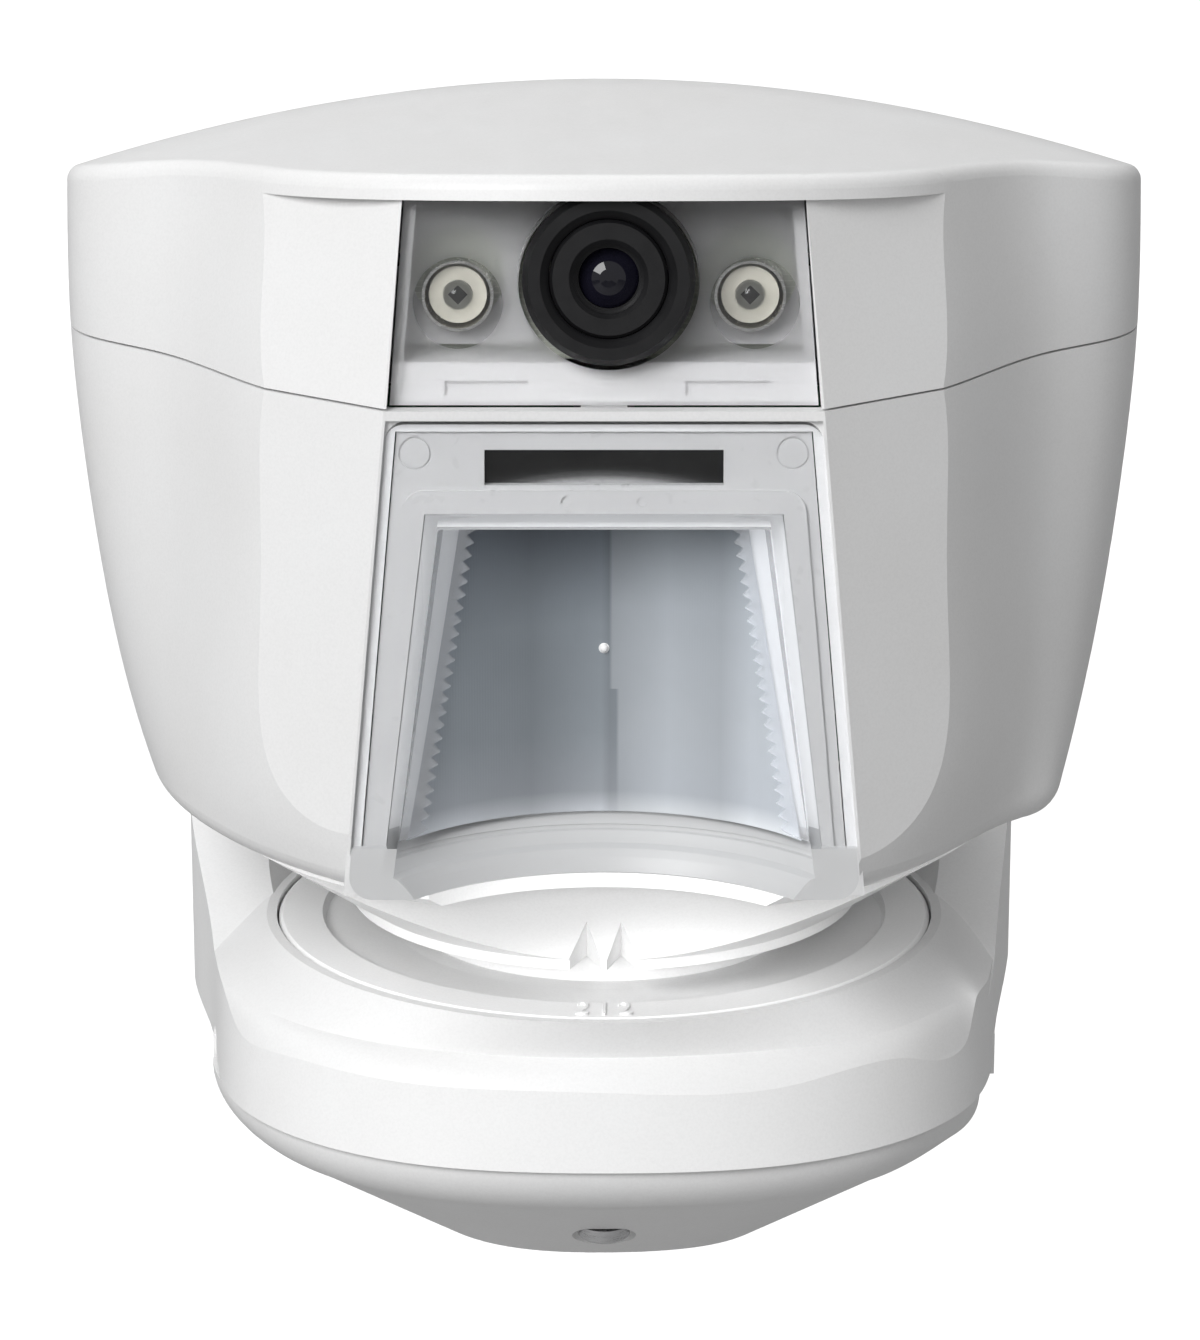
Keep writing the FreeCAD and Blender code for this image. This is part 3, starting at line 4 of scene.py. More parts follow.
import bmesh
import bpy
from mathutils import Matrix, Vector


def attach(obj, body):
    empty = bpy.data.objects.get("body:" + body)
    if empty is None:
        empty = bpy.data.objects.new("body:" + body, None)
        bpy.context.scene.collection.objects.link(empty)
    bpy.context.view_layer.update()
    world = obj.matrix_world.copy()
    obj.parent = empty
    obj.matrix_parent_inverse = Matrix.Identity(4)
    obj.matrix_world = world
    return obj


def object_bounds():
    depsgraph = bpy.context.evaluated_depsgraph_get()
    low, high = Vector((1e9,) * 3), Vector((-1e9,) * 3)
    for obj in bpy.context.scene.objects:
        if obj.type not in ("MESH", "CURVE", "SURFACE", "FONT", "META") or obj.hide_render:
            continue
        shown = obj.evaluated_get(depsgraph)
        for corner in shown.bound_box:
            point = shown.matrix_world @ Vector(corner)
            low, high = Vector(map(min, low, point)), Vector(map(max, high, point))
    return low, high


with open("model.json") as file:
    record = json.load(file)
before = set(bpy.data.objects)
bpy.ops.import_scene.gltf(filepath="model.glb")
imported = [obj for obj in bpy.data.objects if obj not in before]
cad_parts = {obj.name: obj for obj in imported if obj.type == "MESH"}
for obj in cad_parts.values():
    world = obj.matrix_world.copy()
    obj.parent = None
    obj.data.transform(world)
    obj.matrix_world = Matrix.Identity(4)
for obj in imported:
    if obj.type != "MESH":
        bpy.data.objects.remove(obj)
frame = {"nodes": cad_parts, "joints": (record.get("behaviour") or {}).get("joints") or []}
cad_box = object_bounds()
NODES = frame["nodes"]

JOINTS = {joint["name"]: joint for joint in frame["joints"]}

# places and sizes are in metres, in the row frame
SWIVEL_Y = JOINTS["head_swivel"]["pos_m"][1]

# ---------------------------------------------------------------- material helpers


def new_material(name, **sockets):
    """A Principled material; plain values are set on the shader's own sockets."""
    mat = bpy.data.materials.new(name)
    mat.use_nodes = True
    shader = mat.node_tree.nodes["Principled BSDF"]
    for key, value in sockets.items():
        shader.inputs[key.replace("_", " ")].default_value = value
    return mat, mat.node_tree, shader


def object_coords(tree):
    return tree.nodes.new("ShaderNodeTexCoord").outputs["Object"]


def split_coords(tree):
    """A node that gives the place on the piece as X, Y and Z."""
    split = tree.nodes.new("ShaderNodeSeparateXYZ")
    tree.links.new(object_coords(tree), split.inputs[0])
    return split


def noise(tree, scale, detail=3.0, stretch=None):
    """Noise over the piece's own metres; stretch scales the axes."""
    node = tree.nodes.new("ShaderNodeTexNoise")
    node.inputs["Scale"].default_value = scale
    node.inputs["Detail"].default_value = detail
    node.inputs["Roughness"].default_value = 0.55
    source = object_coords(tree)
    if stretch:
        mapping = tree.nodes.new("ShaderNodeMapping")
        mapping.inputs["Scale"].default_value = stretch
        tree.links.new(source, mapping.inputs["Vector"])
        source = mapping.outputs["Vector"]
    tree.links.new(source, node.inputs["Vector"])
    return node.outputs["Fac"]


def ramp(tree, value, stops):
    """Colours along a value; stops are (place, colour) pairs."""
    node = tree.nodes.new("ShaderNodeValToRGB")
    elements = node.color_ramp.elements
    while len(elements) > 1:
        elements.remove(elements[-1])
    for index, (place, colour) in enumerate(stops):
        element = elements[0] if index == 0 else elements.new(place)
        element.position = place
        element.color = (*colour, 1.0)
    tree.links.new(value, node.inputs["Fac"])
    return node.outputs["Color"]


def grey(level, warm=0.0):
    return (level * (1 + warm), level, level * (1 - warm))


def math_node(tree, operation, a, b=None, clamp=False):
    node = tree.nodes.new("ShaderNodeMath")
    node.operation = operation
    node.use_clamp = clamp
    for socket, value in zip(node.inputs, (a, b)):
        if value is None:
            continue
        if isinstance(value, (int, float)):
            socket.default_value = value
        else:
            tree.links.new(value, socket)
    return node.outputs[0]


def mix_colour(tree, factor, a, b, blend="MIX"):
    node = tree.nodes.new("ShaderNodeMix")
    node.data_type = "RGBA"
    node.blend_type = blend
    if isinstance(factor, (int, float)):
        node.inputs["Factor"].default_value = factor
    else:
        tree.links.new(factor, node.inputs["Factor"])
    for socket, value in ((node.inputs[6], a), (node.inputs[7], b)):
        if isinstance(value, tuple):
            socket.default_value = (*value, 1.0)
        else:
            tree.links.new(value, socket)
    return node.outputs[2]


def wired(shader, key):
    """What feeds a socket of the shader so far."""
    return shader.inputs[key].links[0].from_socket


def uneven_gloss(tree, shader, pattern, low, high, start=0.3, end=0.7):
    """Roughness that runs from low to high while the pattern runs from start to end."""
    gloss = ramp(tree, pattern, [(start, grey(low)), (end, grey(high))])
    tree.links.new(gloss, shader.inputs["Roughness"])


def bump(tree, shader, heights, strength=0.3):
    """Stacks bumps: each entry is a height socket and its depth in metres."""
    normal = None
    for height, depth in heights:
        node = tree.nodes.new("ShaderNodeBump")
        node.inputs["Strength"].default_value = strength
        node.inputs["Distance"].default_value = depth
        tree.links.new(height, node.inputs["Height"])
        if normal is not None:
            tree.links.new(normal, node.inputs["Normal"])
        normal = node.outputs["Normal"]
    tree.links.new(normal, shader.inputs["Normal"])


def distance(tree, across, upward):
    """Length of a step across and a step upward, in metres."""
    squared = math_node(tree, "ADD", math_node(tree, "MULTIPLY", across, across),
                        math_node(tree, "MULTIPLY", upward, upward))
    return math_node(tree, "SQRT", squared)


def radius_from(tree, split, x, z):
    """Distance in the front view from a point."""
    across = math_node(tree, "SUBTRACT", split.outputs["X"], x)
    upward = math_node(tree, "SUBTRACT", split.outputs["Z"], z)
    return distance(tree, across, upward)


def let_light_through(mat, tint=(0.9, 0.9, 0.9), share=0.85):
    """Lamps pass through the glass, so that what it covers is lit."""
    tree = mat.node_tree
    shader = tree.nodes["Principled BSDF"]
    output = tree.nodes["Material Output"]
    path = tree.nodes.new("ShaderNodeLightPath")
    clear = tree.nodes.new("ShaderNodeBsdfTransparent")
    clear.inputs["Color"].default_value = (*tint, 1.0)
    mix = tree.nodes.new("ShaderNodeMixShader")
    factor = math_node(tree, "MULTIPLY", path.outputs["Is Shadow Ray"], share)
    tree.links.new(factor, mix.inputs["Fac"])
    tree.links.new(shader.outputs["BSDF"], mix.inputs[1])
    tree.links.new(clear.outputs["BSDF"], mix.inputs[2])
    tree.links.new(mix.outputs["Shader"], output.inputs["Surface"])


# ---------------------------------------------------------------- materials


def textured_white(name, level, rough=0.42):
    """Moulded ABS: fine spark-eroded grain, faint cloudiness, slightly uneven gloss."""
    mat, tree, shader = new_material(name, Specular_IOR_Level=0.42)
    cloud = noise(tree, 45.0, 3.0)
    speck = noise(tree, 2600.0, 2.0)
    base = ramp(tree, cloud, [(0.30, grey(level * 0.975, 0.002)), (0.70, grey(level, -0.002))])
    dust = ramp(tree, speck, [(0.30, grey(0.965)), (0.62, grey(1.0))])
    tree.links.new(mix_colour(tree, 1.0, base, dust, "MULTIPLY"), shader.inputs["Base Color"])
    uneven_gloss(tree, shader, noise(tree, 320.0, 4.0), rough - 0.05, rough + 0.06)
    grain = noise(tree, 1500.0, 3.0)
    waviness = noise(tree, 24.0, 2.0)
    bump(tree, shader, [(grain, 0.000030), (waviness, 0.00018)], 0.35)
    return mat


def smooth_white(name, level, rough=0.30):
    mat, tree, shader = new_material(name, Specular_IOR_Level=0.45)
    tone = ramp(tree, noise(tree, 70.0, 3.0), [(0.3, grey(level * 0.97)), (0.7, grey(level))])
    tree.links.new(tone, shader.inputs["Base Color"])
    uneven_gloss(tree, shader, noise(tree, 500.0, 3.0), rough - 0.04, rough + 0.06)
    bump(tree, shader, [(noise(tree, 700.0, 2.0), 0.000015)], 0.3)
    return mat


def clear_plastic(name, tint, rough=0.03, transmission=1.0):
    """Injection-moulded clear polycarbonate with faint flow waviness."""
    mat, tree, shader = new_material(name, IOR=1.49, Transmission_Weight=transmission,
                                     Specular_IOR_Level=0.5)
    brighter = tuple(min(1.0, c * 1.01) for c in tint)
    tone = ramp(tree, noise(tree, 120.0, 2.0), [(0.3, tint), (0.7, brighter)])
    tree.links.new(tone, shader.inputs["Base Color"])
    uneven_gloss(tree, shader, noise(tree, 260.0, 3.0), rough, rough + 0.05, start=0.35, end=0.75)
    bump(tree, shader, [(noise(tree, 90.0, 2.0), 0.00006)], 0.25)
    let_light_through(mat, tuple(c ** 0.5 for c in tint))
    return mat


# the clear plate's face at height PLATE_Z, and how far it leans back for each metre upwards
PLATE_Y = SWIVEL_Y - 0.0556
PLATE_Z = 0.010
PLATE_LEAN = 0.0892
# the matt recess walls start this far behind the face, and the sill under them ends at SILL_Z
WALL_DEPTH = 0.0009
SILL_Z = 0.0285
# the two lower corners are matt right to the face, from CORNER_X outwards and below CORNER_Z
CORNER_X = 0.0222
CORNER_Z = 0.0268


def window_plastic(name):
    """Clear front plate; the recess walls behind it are moulded matt and look milky, and above the sill
    they carry a painted glow.
    """
    mat = clear_plastic(name, (0.955, 0.96, 0.97))
    tree = mat.node_tree
    shader = tree.nodes["Principled BSDF"]
    split = split_coords(tree)
    # depth behind the face of the plate, which leans back towards the top
    above = math_node(tree, "SUBTRACT", split.outputs["Z"], PLATE_Z)
    lean = math_node(tree, "MULTIPLY", above, PLATE_LEAN)
    depth = math_node(tree, "SUBTRACT", math_node(tree, "ADD", split.outputs["Y"], -PLATE_Y), lean)
    milky = math_node(tree, "GREATER_THAN", depth, WALL_DEPTH)
    aside = math_node(tree, "GREATER_THAN", math_node(tree, "ABSOLUTE", split.outputs["X"]), CORNER_X)
    foot = math_node(tree, "LESS_THAN", split.outputs["Z"], CORNER_Z)
    milky = math_node(tree, "MAXIMUM", milky, math_node(tree, "MULTIPLY", aside, foot))
    # painted glow: above the sill the recess walls get a faint emission and a paler colour, standing in for
    # light carried from the plate; the sill below them gets neither
    above_sill = math_node(tree, "GREATER_THAN", split.outputs["Z"], SILL_Z)
    painted_glow_mask = math_node(tree, "MULTIPLY", milky, above_sill)
    shader.inputs["Emission Color"].default_value = (0.97, 0.98, 1.0, 1.0)
    tree.links.new(math_node(tree, "MULTIPLY", painted_glow_mask, 0.11), shader.inputs["Emission Strength"])
    tree.links.new(math_node(tree, "SUBTRACT", 1.0, math_node(tree, "MULTIPLY", milky, 0.80)),
                   shader.inputs["Transmission Weight"])
    clear_rough = wired(shader, "Roughness")
    tree.links.new(mix_colour(tree, milky, clear_rough, grey(0.35)), shader.inputs["Roughness"])
    clear_tone = wired(shader, "Base Color")
    # painted light: where the walls glow they are also painted paler
    milky_tone = mix_colour(tree, painted_glow_mask, (0.66, 0.665, 0.67), (0.88, 0.885, 0.89))
    tree.links.new(mix_colour(tree, milky, clear_tone, milky_tone), shader.inputs["Base Color"])
    return mat


def plain_plastic(name, colour, rough, grain_scale=1200.0, depth=0.00002, **sockets):
    mat, tree, shader = new_material(name, **sockets)
    dark = tuple(c * 0.86 for c in colour)
    tone = ramp(tree, noise(tree, 160.0, 4.0), [(0.32, dark), (0.68, colour)])
    tree.links.new(tone, shader.inputs["Base Color"])
    uneven_gloss(tree, shader, noise(tree, 420.0, 3.0), rough - 0.05, rough + 0.07)
    bump(tree, shader, [(noise(tree, grain_scale, 2.0), depth)], 0.35)
    return mat


def brushed_metal(name, colour, rough, stretch=(1.0, 1.0, 12.0)):
    mat, tree, shader = new_material(name, Metallic=1.0)
    streak = noise(tree, 500.0, 3.0, stretch=stretch)
    tone = ramp(tree, streak, [(0.3, tuple(c * 0.8 for c in colour)), (0.7, colour)])
    tree.links.new(tone, shader.inputs["Base Color"])
    uneven_gloss(tree, shader, streak, rough, rough + 0.14)
    bump(tree, shader, [(streak, 0.000012)], 0.4)
    return mat


def circuit_board(name, dark, light, track):
    """Solder resist with copper tracks showing through it."""
    mat, tree, shader = new_material(name, Specular_IOR_Level=0.55)
    where = object_coords(tree)
    brick = tree.nodes.new("ShaderNodeTexBrick")
    brick.inputs["Scale"].default_value = 330.0
    brick.inputs["Mortar Size"].default_value = 0.022
    brick.inputs["Brick Width"].default_value = 1.7
    brick.inputs["Color1"].default_value = (*dark, 1)
    brick.inputs["Color2"].default_value = (*light, 1)
    brick.inputs["Mortar"].default_value = (*track, 1)
    turn = tree.nodes.new("ShaderNodeMapping")
    turn.inputs["Rotation"].default_value = (math.radians(90), 0, 0)
    tree.links.new(where, turn.inputs["Vector"])
    tree.links.new(turn.outputs["Vector"], brick.inputs["Vector"])
    dust = ramp(tree, noise(tree, 700.0, 2.0), [(0.35, grey(0.86)), (0.6, grey(1.0))])
    base = mix_colour(tree, 1.0, brick.outputs["Color"], dust, "MULTIPLY")
    tree.links.new(base, shader.inputs["Base Color"])
    uneven_gloss(tree, shader, noise(tree, 300.0), 0.28, 0.40)
    bump(tree, shader, [(brick.outputs["Fac"], 0.00004)], 0.4)
    return mat


# x, z and radius of the polished spots in front of the lamps
CLEAR_SPOTS = [(-0.0188, 0.0968, 0.0058), (0.0194, 0.0968, 0.0058)]


def frosted_window(name):
    """Window moulded matt, with polished round spots in front of the lamps."""
    mat, tree, shader = new_material(name, IOR=1.49, Transmission_Weight=1.0)
    split = split_coords(tree)
    spots = None
    for x, z, radius in CLEAR_SPOTS:
        inside = math_node(tree, "LESS_THAN", radius_from(tree, split, x, z), radius)
        spots = inside if spots is None else math_node(tree, "MAXIMUM", spots, inside)
    grain = noise(tree, 1700.0, 3.0)
    matt = ramp(tree, grain, [(0.3, grey(0.30)), (0.7, grey(0.38))])
    tree.links.new(mix_colour(tree, spots, matt, grey(0.015)), shader.inputs["Roughness"])
    tone = ramp(tree, noise(tree, 60.0, 2.0), [(0.3, (0.93, 0.93, 0.94)), (0.7, (0.97, 0.97, 0.975))])
    tree.links.new(tone, shader.inputs["Base Color"])
    height = mix_colour(tree, spots, grain, grey(0.5))
    bump(tree, shader, [(height, 0.00003)], 0.4)
    let_light_through(mat, (0.92, 0.92, 0.93), 0.75)
    return mat


# painted shade runs up the lens film from its foot, above a painted highlight just at the foot
FILM_FOOT_Z = 0.027
FILM_HEIGHT = 0.043
# the painted reflection line between the two tones, which steps sideways higher up
REFLECTION_LINE_X = 0.0018
REFLECTION_LINE_STEP = -0.0009
REFLECTION_LINE_STEP_Z = 0.0437
# the white dot near the middle
DOT_Z = 0.0493
DOT_RADIUS = 0.0007


def film_material(name):
    """Milky lens sheet: fine vertical ribs; two tones parted by a painted reflection line, and painted
    shade that darkens it upwards from a painted highlight, so it is paler towards the foot.
    """
    mat, tree, shader = new_material(name, Specular_IOR_Level=0.35)
    split = split_coords(tree)
    stepped = math_node(tree, "GREATER_THAN", split.outputs["Z"], REFLECTION_LINE_STEP_Z)
    step = math_node(tree, "MULTIPLY", stepped, REFLECTION_LINE_STEP)
    edge = math_node(tree, "ADD", split.outputs["X"], math_node(tree, "SUBTRACT", -REFLECTION_LINE_X, step))
    # the tones blend over about half a millimetre
    # which side of the painted reflection line a point is on
    reflection_line_side = math_node(tree, "MULTIPLY", edge, 2200.0)
    reflection_line_side = math_node(tree, "ADD", reflection_line_side, 0.5, clamp=True)
    above_foot = math_node(tree, "SUBTRACT", split.outputs["Z"], FILM_FOOT_Z)
    upward = math_node(tree, "MULTIPLY", above_foot, 1 / FILM_HEIGHT)
    # painted highlight at the foot, then painted shade darkening each tone towards the top
    left = ramp(tree, upward, [
        (0.0, (0.60, 0.63, 0.67)), (0.06, (0.36, 0.385, 0.42)), (0.25, (0.285, 0.315, 0.345)),
        (0.60, (0.25, 0.28, 0.31)), (0.85, (0.14, 0.16, 0.185)), (1.0, (0.09, 0.105, 0.125))])
    right = ramp(tree, upward, [
        (0.0, (0.66, 0.69, 0.72)), (0.06, (0.45, 0.48, 0.52)), (0.30, (0.44, 0.47, 0.505)),
        (0.65, (0.385, 0.415, 0.45)), (0.88, (0.24, 0.265, 0.29)), (1.0, (0.13, 0.148, 0.17))])
    # painted reflection: upright bands of lighter and darker film, from one side to the other
    sideways = math_node(tree, "ADD", math_node(tree, "MULTIPLY", split.outputs["X"], 26.0), 0.5)
    across = ramp(tree, sideways,
                  [(0.0, grey(1.10)), (0.25, grey(0.80)), (0.49, grey(1.05)), (0.52, grey(0.86)),
                   (0.72, grey(1.12)), (0.90, grey(1.0)), (1.0, grey(1.3))])
    base = mix_colour(tree, 1.0, mix_colour(tree, reflection_line_side, left, right), across, "MULTIPLY")
    mottled = ramp(tree, noise(tree, 90.0, 4.0), [(0.3, grey(0.94)), (0.7, grey(1.0))])
    base = mix_colour(tree, 1.0, base, mottled, "MULTIPLY")
    dot = math_node(tree, "LESS_THAN", radius_from(tree, split, 0.0, DOT_Z), DOT_RADIUS)
    tree.links.new(mix_colour(tree, dot, base, grey(0.95)), shader.inputs["Base Color"])
    wave = tree.nodes.new("ShaderNodeTexWave")
    wave.bands_direction = "X"
    wave.inputs["Scale"].default_value = 900.0
    wave.inputs["Distortion"].default_value = 0.4
    tree.links.new(object_coords(tree), wave.inputs["Vector"])
    uneven_gloss(tree, shader, wave.outputs["Fac"], 0.42, 0.55, start=0.0, end=1.0)
    bump(tree, shader, [(wave.outputs["Fac"], 0.00002)], 0.3)
    return mat


def slot_material(name, low, high, half_width):
    """Smoked slot from low to high with painted light: black above as painted shade, and a painted pale lit
    floor whose edge bows up in the middle.
    """
    mat, tree, shader = new_material(name, Specular_IOR_Level=0.25)
    split = split_coords(tree)
    share = math_node(tree, "DIVIDE", math_node(tree, "SUBTRACT", split.outputs["Z"], low), high - low)
    x = math_node(tree, "DIVIDE", split.outputs["X"], half_width)
    lit_floor_bow = math_node(tree, "MULTIPLY", math_node(tree, "MULTIPLY", x, x), 0.42)
    level = math_node(tree, "ADD", share, lit_floor_bow)
    # painted light and shade: pale lit floor at the foot, fading to black shade above
    tone = ramp(tree, level, [(0.10, grey(0.42)), (0.26, grey(0.10)), (0.42, grey(0.015)),
                              (0.56, grey(0.003))])
    speck = ramp(tree, noise(tree, 1800.0, 2.0), [(0.35, grey(0.85)), (0.55, grey(1.0))])
    tree.links.new(mix_colour(tree, 1.0, tone, speck, "MULTIPLY"), shader.inputs["Base Color"])
    uneven_gloss(tree, shader, noise(tree, 500.0), 0.30, 0.42)
    bump(tree, shader, [(noise(tree, 900.0, 2.0), 0.00001)], 0.3)
    return mat


def coated_glass(name):
    """Small dark lens; the faint violet coating's reflection is painted into its colour, paler towards
    grazing angles.
    """
    mat, tree, shader = new_material(name, IOR=1.42, Coat_Weight=0.25, Coat_Roughness=0.04)
    # painted reflection: the colour turns paler violet where the lens is seen edge-on
    facing = tree.nodes.new("ShaderNodeLayerWeight")
    facing.inputs["Blend"].default_value = 0.35
    tone = ramp(tree, facing.outputs["Facing"], [
        (0.0, (0.006, 0.006, 0.010)), (0.55, (0.020, 0.018, 0.040)), (1.0, (0.05, 0.06, 0.10))])
    speck = ramp(tree, noise(tree, 900.0, 2.0), [(0.3, grey(0.9)), (0.6, grey(1.0))])
    tree.links.new(mix_colour(tree, 1.0, tone, speck, "MULTIPLY"), shader.inputs["Base Color"])
    uneven_gloss(tree, shader, noise(tree, 400.0), 0.02, 0.05)
    return mat


# centre of each lamp, radius of its cup, and reach of the die's corners from the centre
LAMP_X = 0.0189
LAMP_Z = 0.0970
CUP_RADIUS = 0.0019
DIE_REACH = 0.00085


def lamp_material(name):
    """Beige lamp package with a pale cup and a dark square die set on its corner."""
    mat = plain_plastic(name, (0.74, 0.72, 0.62), 0.38)
    tree = mat.node_tree
    shader = tree.nodes["Principled BSDF"]
    package = wired(shader, "Base Color")
    split = split_coords(tree)
    across = math_node(tree, "SUBTRACT", math_node(tree, "ABSOLUTE", split.outputs["X"]), LAMP_X)
    upward = math_node(tree, "SUBTRACT", split.outputs["Z"], LAMP_Z)
    cup = math_node(tree, "LESS_THAN", distance(tree, across, upward), CUP_RADIUS)
    spread = math_node(tree, "ADD", math_node(tree, "ABSOLUTE", across),
                       math_node(tree, "ABSOLUTE", upward))
    die = math_node(tree, "LESS_THAN", spread, DIE_REACH)
    tone = mix_colour(tree, cup, package, (0.62, 0.62, 0.60))
    tree.links.new(mix_colour(tree, die, tone, (0.07, 0.07, 0.075)), shader.inputs["Base Color"])
    return mat


# top of the bar along the tray's foot, which is painted paler as lit
BAR_TOP_Z = 0.0893


def tray_material(name):
    """White tray; the bar along its foot is painted paler as lit, the panel behind the lens darker as
    painted shade.
    """
    mat = smooth_white(name, 0.43, rough=0.45)
    tree = mat.node_tree
    shader = tree.nodes["Principled BSDF"]
    shaded_panel = wired(shader, "Base Color")
    split = split_coords(tree)
    # painted light and shade: lit bar below, shaded panel above
    lit_bar = math_node(tree, "LESS_THAN", split.outputs["Z"], BAR_TOP_Z)
    tree.links.new(mix_colour(tree, lit_bar, shaded_panel, grey(0.70)), shader.inputs["Base Color"])
    return mat


MATERIALS = {
    "head": textured_white("head_white", 0.83),
    "bracket": textured_white("bracket_white", 0.84, rough=0.45),
    "bezel": smooth_white("bezel_white", 0.62),
    "tray": tray_material("tray_white"),
    "window": window_plastic("clear_window"),
    "frost": frosted_window("frosted_window"),
    "film": film_material("film_grey"),
    "guide": clear_plastic("guide_clear", (0.90, 0.91, 0.93), rough=0.10, transmission=0.75),
    "filter": slot_material("smoked_filter", low=0.0738, high=0.0787, half_width=0.0154),
    "lens": plain_plastic("lens_black", (0.0065, 0.0065, 0.0075), 0.42, grain_scale=2400.0, depth=0.00003,
                          Specular_IOR_Level=0.35),
    "lens_glass": coated_glass("lens_glass"),
    "led_clear": clear_plastic("led_clear", (0.96, 0.97, 0.93), rough=0.02),
    "led_body": lamp_material("led_body"),
    "reflector": brushed_metal("reflector", (0.78, 0.78, 0.76), 0.16),
    "board": circuit_board("board_green", (0.010, 0.085, 0.035), (0.012, 0.100, 0.040),
                           (0.018, 0.145, 0.058)),
    "camera_board": circuit_board("board_olive", (0.42, 0.44, 0.38), (0.48, 0.50, 0.43),
                                  (0.55, 0.57, 0.50)),
    "chip": plain_plastic("chip_black", (0.018, 0.018, 0.019), 0.5, grain_scale=3000.0),
    "can": brushed_metal("sensor_can", (0.66, 0.64, 0.58), 0.28),
    "contact": brushed_metal("contact_metal", (0.72, 0.62, 0.36), 0.26),
    "cell": plain_plastic("cell_sleeve", (0.045, 0.120, 0.360), 0.22, depth=0.00001),
    "holder": plain_plastic("holder_black", (0.022, 0.022, 0.024), 0.46),
    "steel": brushed_metal("screw_steel", (0.68, 0.68, 0.69), 0.24),
    "rubber": plain_plastic("seal_rubber", (0.018, 0.018, 0.018), 0.68, grain_scale=2000.0, depth=0.00004),
    "acetal": plain_plastic("plunger_black", (0.025, 0.025, 0.026), 0.34),
    "button": plain_plastic("button_grey", (0.11, 0.12, 0.13), 0.36),
    "mirror": brushed_metal("mirror_plate", (0.90, 0.90, 0.90), 0.03),
}

# which nodes wear which material
FINISH = {
    "head": ["head_base", "hood", "front_cover"],
    "bracket": ["bracket_shell", "dial_ring", "bottom_cover"],
    "bezel": ["window_bezel"],
    "tray": ["camera_tray"],
    "window": ["window_cover"],
    "frost": ["camera_window"],
    "film": ["pir_film"],
    "guide": ["left_light_guide", "right_light_guide"],
    "filter": ["slot_filter"],
    "lens": ["lens_flange", "lens_barrel"],
    "lens_glass": ["lens_glass"],
    "led_clear": ["led_lenses"],
    "led_body": ["led_bodies"],
    "reflector": ["led_reflectors"],
    "board": ["main_board", "sensor_board"],
    "camera_board": ["camera_board"],
    "chip": ["image_sensor", "board_chips", "enrol_switch"],
    "can": ["pir_sensors"],
    "contact": ["antenna", "battery_contacts"],
    "cell": ["battery_cells"],
    "holder": ["battery_holder", "swivel_clamp_plate", "wall_tamper_switch", "cover_tamper_switch"],
    "steel": ["bottom_cover_screw", "swivel_lock_screw", "board_screws", "hood_screws"],
    "rubber": ["neck_seal", "hood_gasket"],
    "acetal": ["cover_tamper_plunger", "wall_tamper_plunger"],
    "button": ["enrol_button"],
    "mirror": ["mirror_optics"],
}
for finish, names in FINISH.items():
    for name in names:
        mesh = NODES[name].data
        mesh.materials.clear()
        mesh.materials.append(MATERIALS[finish])

# ---------------------------------------------------------------- raised figures on the dial

# how far the figures are from the swivel axis, how high they sit, and the angle from one to the next
FIGURE_RADIUS = 0.0427
FIGURE_Z = 0.00012
FIGURE_STEP = math.radians(3.8)


def dial_figures():
    """Generic raised figures on the dial ring, in front of the head's pointer."""
    pieces = []
    for name, figure, steps in (("dial_figure_left", "2", -1), ("dial_figure_middle", "1", 0),
                                ("dial_figure_right", "2", 1)):
        curve = bpy.data.curves.new(name, "FONT")
        curve.body = figure
        curve.size = 0.0042
        curve.extrude = 0.00016
        curve.bevel_depth = 0.00005
        curve.align_x = "CENTER"
        curve.align_y = "CENTER"
        curve.materials.append(MATERIALS["bracket"])
        piece = bpy.data.objects.new(name, curve)
        turn = steps * FIGURE_STEP
        forwards = FIGURE_RADIUS * math.cos(turn)
        piece.location = (FIGURE_RADIUS * math.sin(turn), SWIVEL_Y - forwards, FIGURE_Z)
        piece.rotation_euler = (0, 0, turn)
        piece.scale = (0.9, 1.6, 1.0)
        bpy.context.scene.collection.objects.link(piece)
        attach(piece, "bracket")
        pieces.append(piece)
    return pieces


figures = dial_figures()

# ---------------------------------------------------------------- floor, light, camera


def build_stage(drop=0.20, radius=0.6, rear=0.9, steps=12):
    """Plain pale floor, drop below the object, that curves up into a backdrop behind it.

    It looks brighter to the camera than it is to the object, so it throws little light back.
    """
    mat, tree, shader = new_material("floor_pale", Specular_IOR_Level=0.0, Emission_Color=(1, 1, 1, 1))
    seen = tree.nodes.new("ShaderNodeLightPath").outputs["Is Camera Ray"]
    tone = ramp(tree, noise(tree, 6.0, 3.0), [(0.3, grey(0.93)), (0.7, grey(0.95))])
    tree.links.new(mix_colour(tree, seen, grey(0.38), tone), shader.inputs["Base Color"])
    tree.links.new(math_node(tree, "MULTIPLY", seen, 0.34), shader.inputs["Emission Strength"])
    uneven_gloss(tree, shader, noise(tree, 30.0), 0.75, 0.85)
    mesh = bmesh.new()
    level = cad_box[0].z - drop
    profile = [(-6.0, level)]
    for i in range(steps + 1):
        turn = math.radians(90) * i / steps
        profile.append((rear + radius * math.sin(turn), level + radius * (1 - math.cos(turn))))
    profile.append((rear + radius, 5.0))
    rows = [[mesh.verts.new((x, y, z)) for y, z in profile] for x in (-5.0, 5.0)]
    for i in range(len(profile) - 1):
        mesh.faces.new((rows[0][i], rows[1][i], rows[1][i + 1], rows[0][i + 1]))
    data = bpy.data.meshes.new("floor")
    mesh.to_mesh(data)
    for polygon in data.polygons:
        polygon.use_smooth = True
    data.materials.append(mat)
    floor = bpy.data.objects.new("floor", data)
    bpy.context.scene.collection.objects.link(floor)


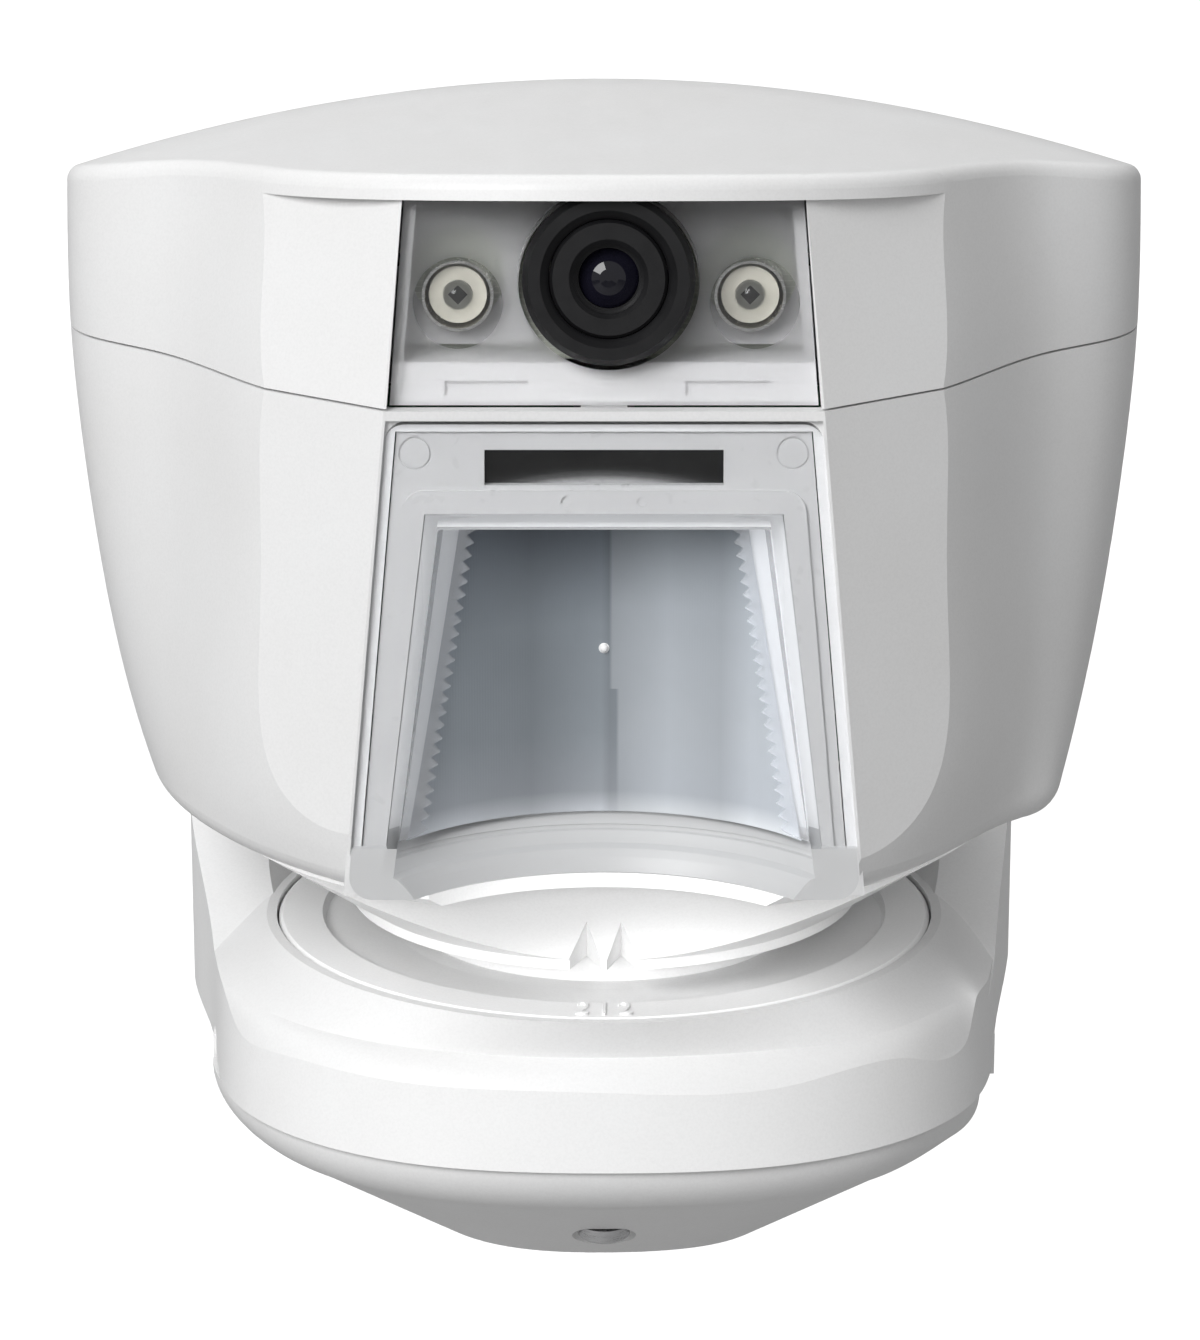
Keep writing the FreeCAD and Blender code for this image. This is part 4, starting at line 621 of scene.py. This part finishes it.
def area_light(name, place, target, size, power, only=()):
    """Soft rectangular lamp; with only, it lights just those pieces."""
    data = bpy.data.lights.new(name, "AREA")
    data.shape = "RECTANGLE"
    data.size, data.size_y = size
    data.energy = power
    lamp = bpy.data.objects.new(name, data)
    lamp.location = place
    lamp.rotation_euler = (Vector(target) - Vector(place)).to_track_quat("-Z", "Y").to_euler()
    bpy.context.scene.collection.objects.link(lamp)
    if only:
        receivers = bpy.data.collections.new(name + "_receivers")
        for piece in only:
            receivers.objects.link(piece)
        lamp.light_linking.receiver_collection = receivers


def build_camera():
    """The camera that was fitted to the photo."""
    data = bpy.data.cameras.new("camera")
    data.sensor_width = 36.0
    data.lens = 133.98
    data.shift_x = -0.003
    camera = bpy.data.objects.new("camera", data)
    place = Vector((0, -0.7399, 0.2315))
    target = Vector((0, SWIVEL_Y, 0.035))
    camera.location = place
    camera.rotation_euler = (target - place).to_track_quat("-Z", "Y").to_euler()
    bpy.context.scene.collection.objects.link(camera)
    bpy.context.scene.camera = camera


def build_lamps():
    """The key and the backdrop light everything, the low lamps only the pieces they name."""
    middle = (0, -0.07, 0.03)
    area_light("key", place=(-0.70, -1.14, 0.92), target=middle, size=(0.8, 0.8), power=17.5)
    for name, power, only in (("low_foot", 16.0, [NODES["head_base"]]),
                              ("low_dial", 11.0, [NODES["dial_ring"]] + figures),
                              ("low_bracket", 2.2, [NODES["bracket_shell"]])):
        area_light(name, place=(-0.20, -1.45, 0.36), target=middle, size=(0.7, 0.4), power=power, only=only)
    area_light("backdrop", place=(0.0, 1.1, 1.6), target=(0, 1.1, 0), size=(2.2, 1.2), power=16.0)


def build_world():
    """Even white light from all sides."""
    world = bpy.data.worlds.new("world")
    world.use_nodes = True
    background = world.node_tree.nodes["Background"]
    background.inputs["Color"].default_value = (1.0, 1.0, 1.0, 1.0)
    background.inputs["Strength"].default_value = 0.46
    bpy.context.scene.world = world


build_stage()
build_camera()
build_lamps()
build_world()
bpy.context.scene.view_settings.view_transform = "Standard"
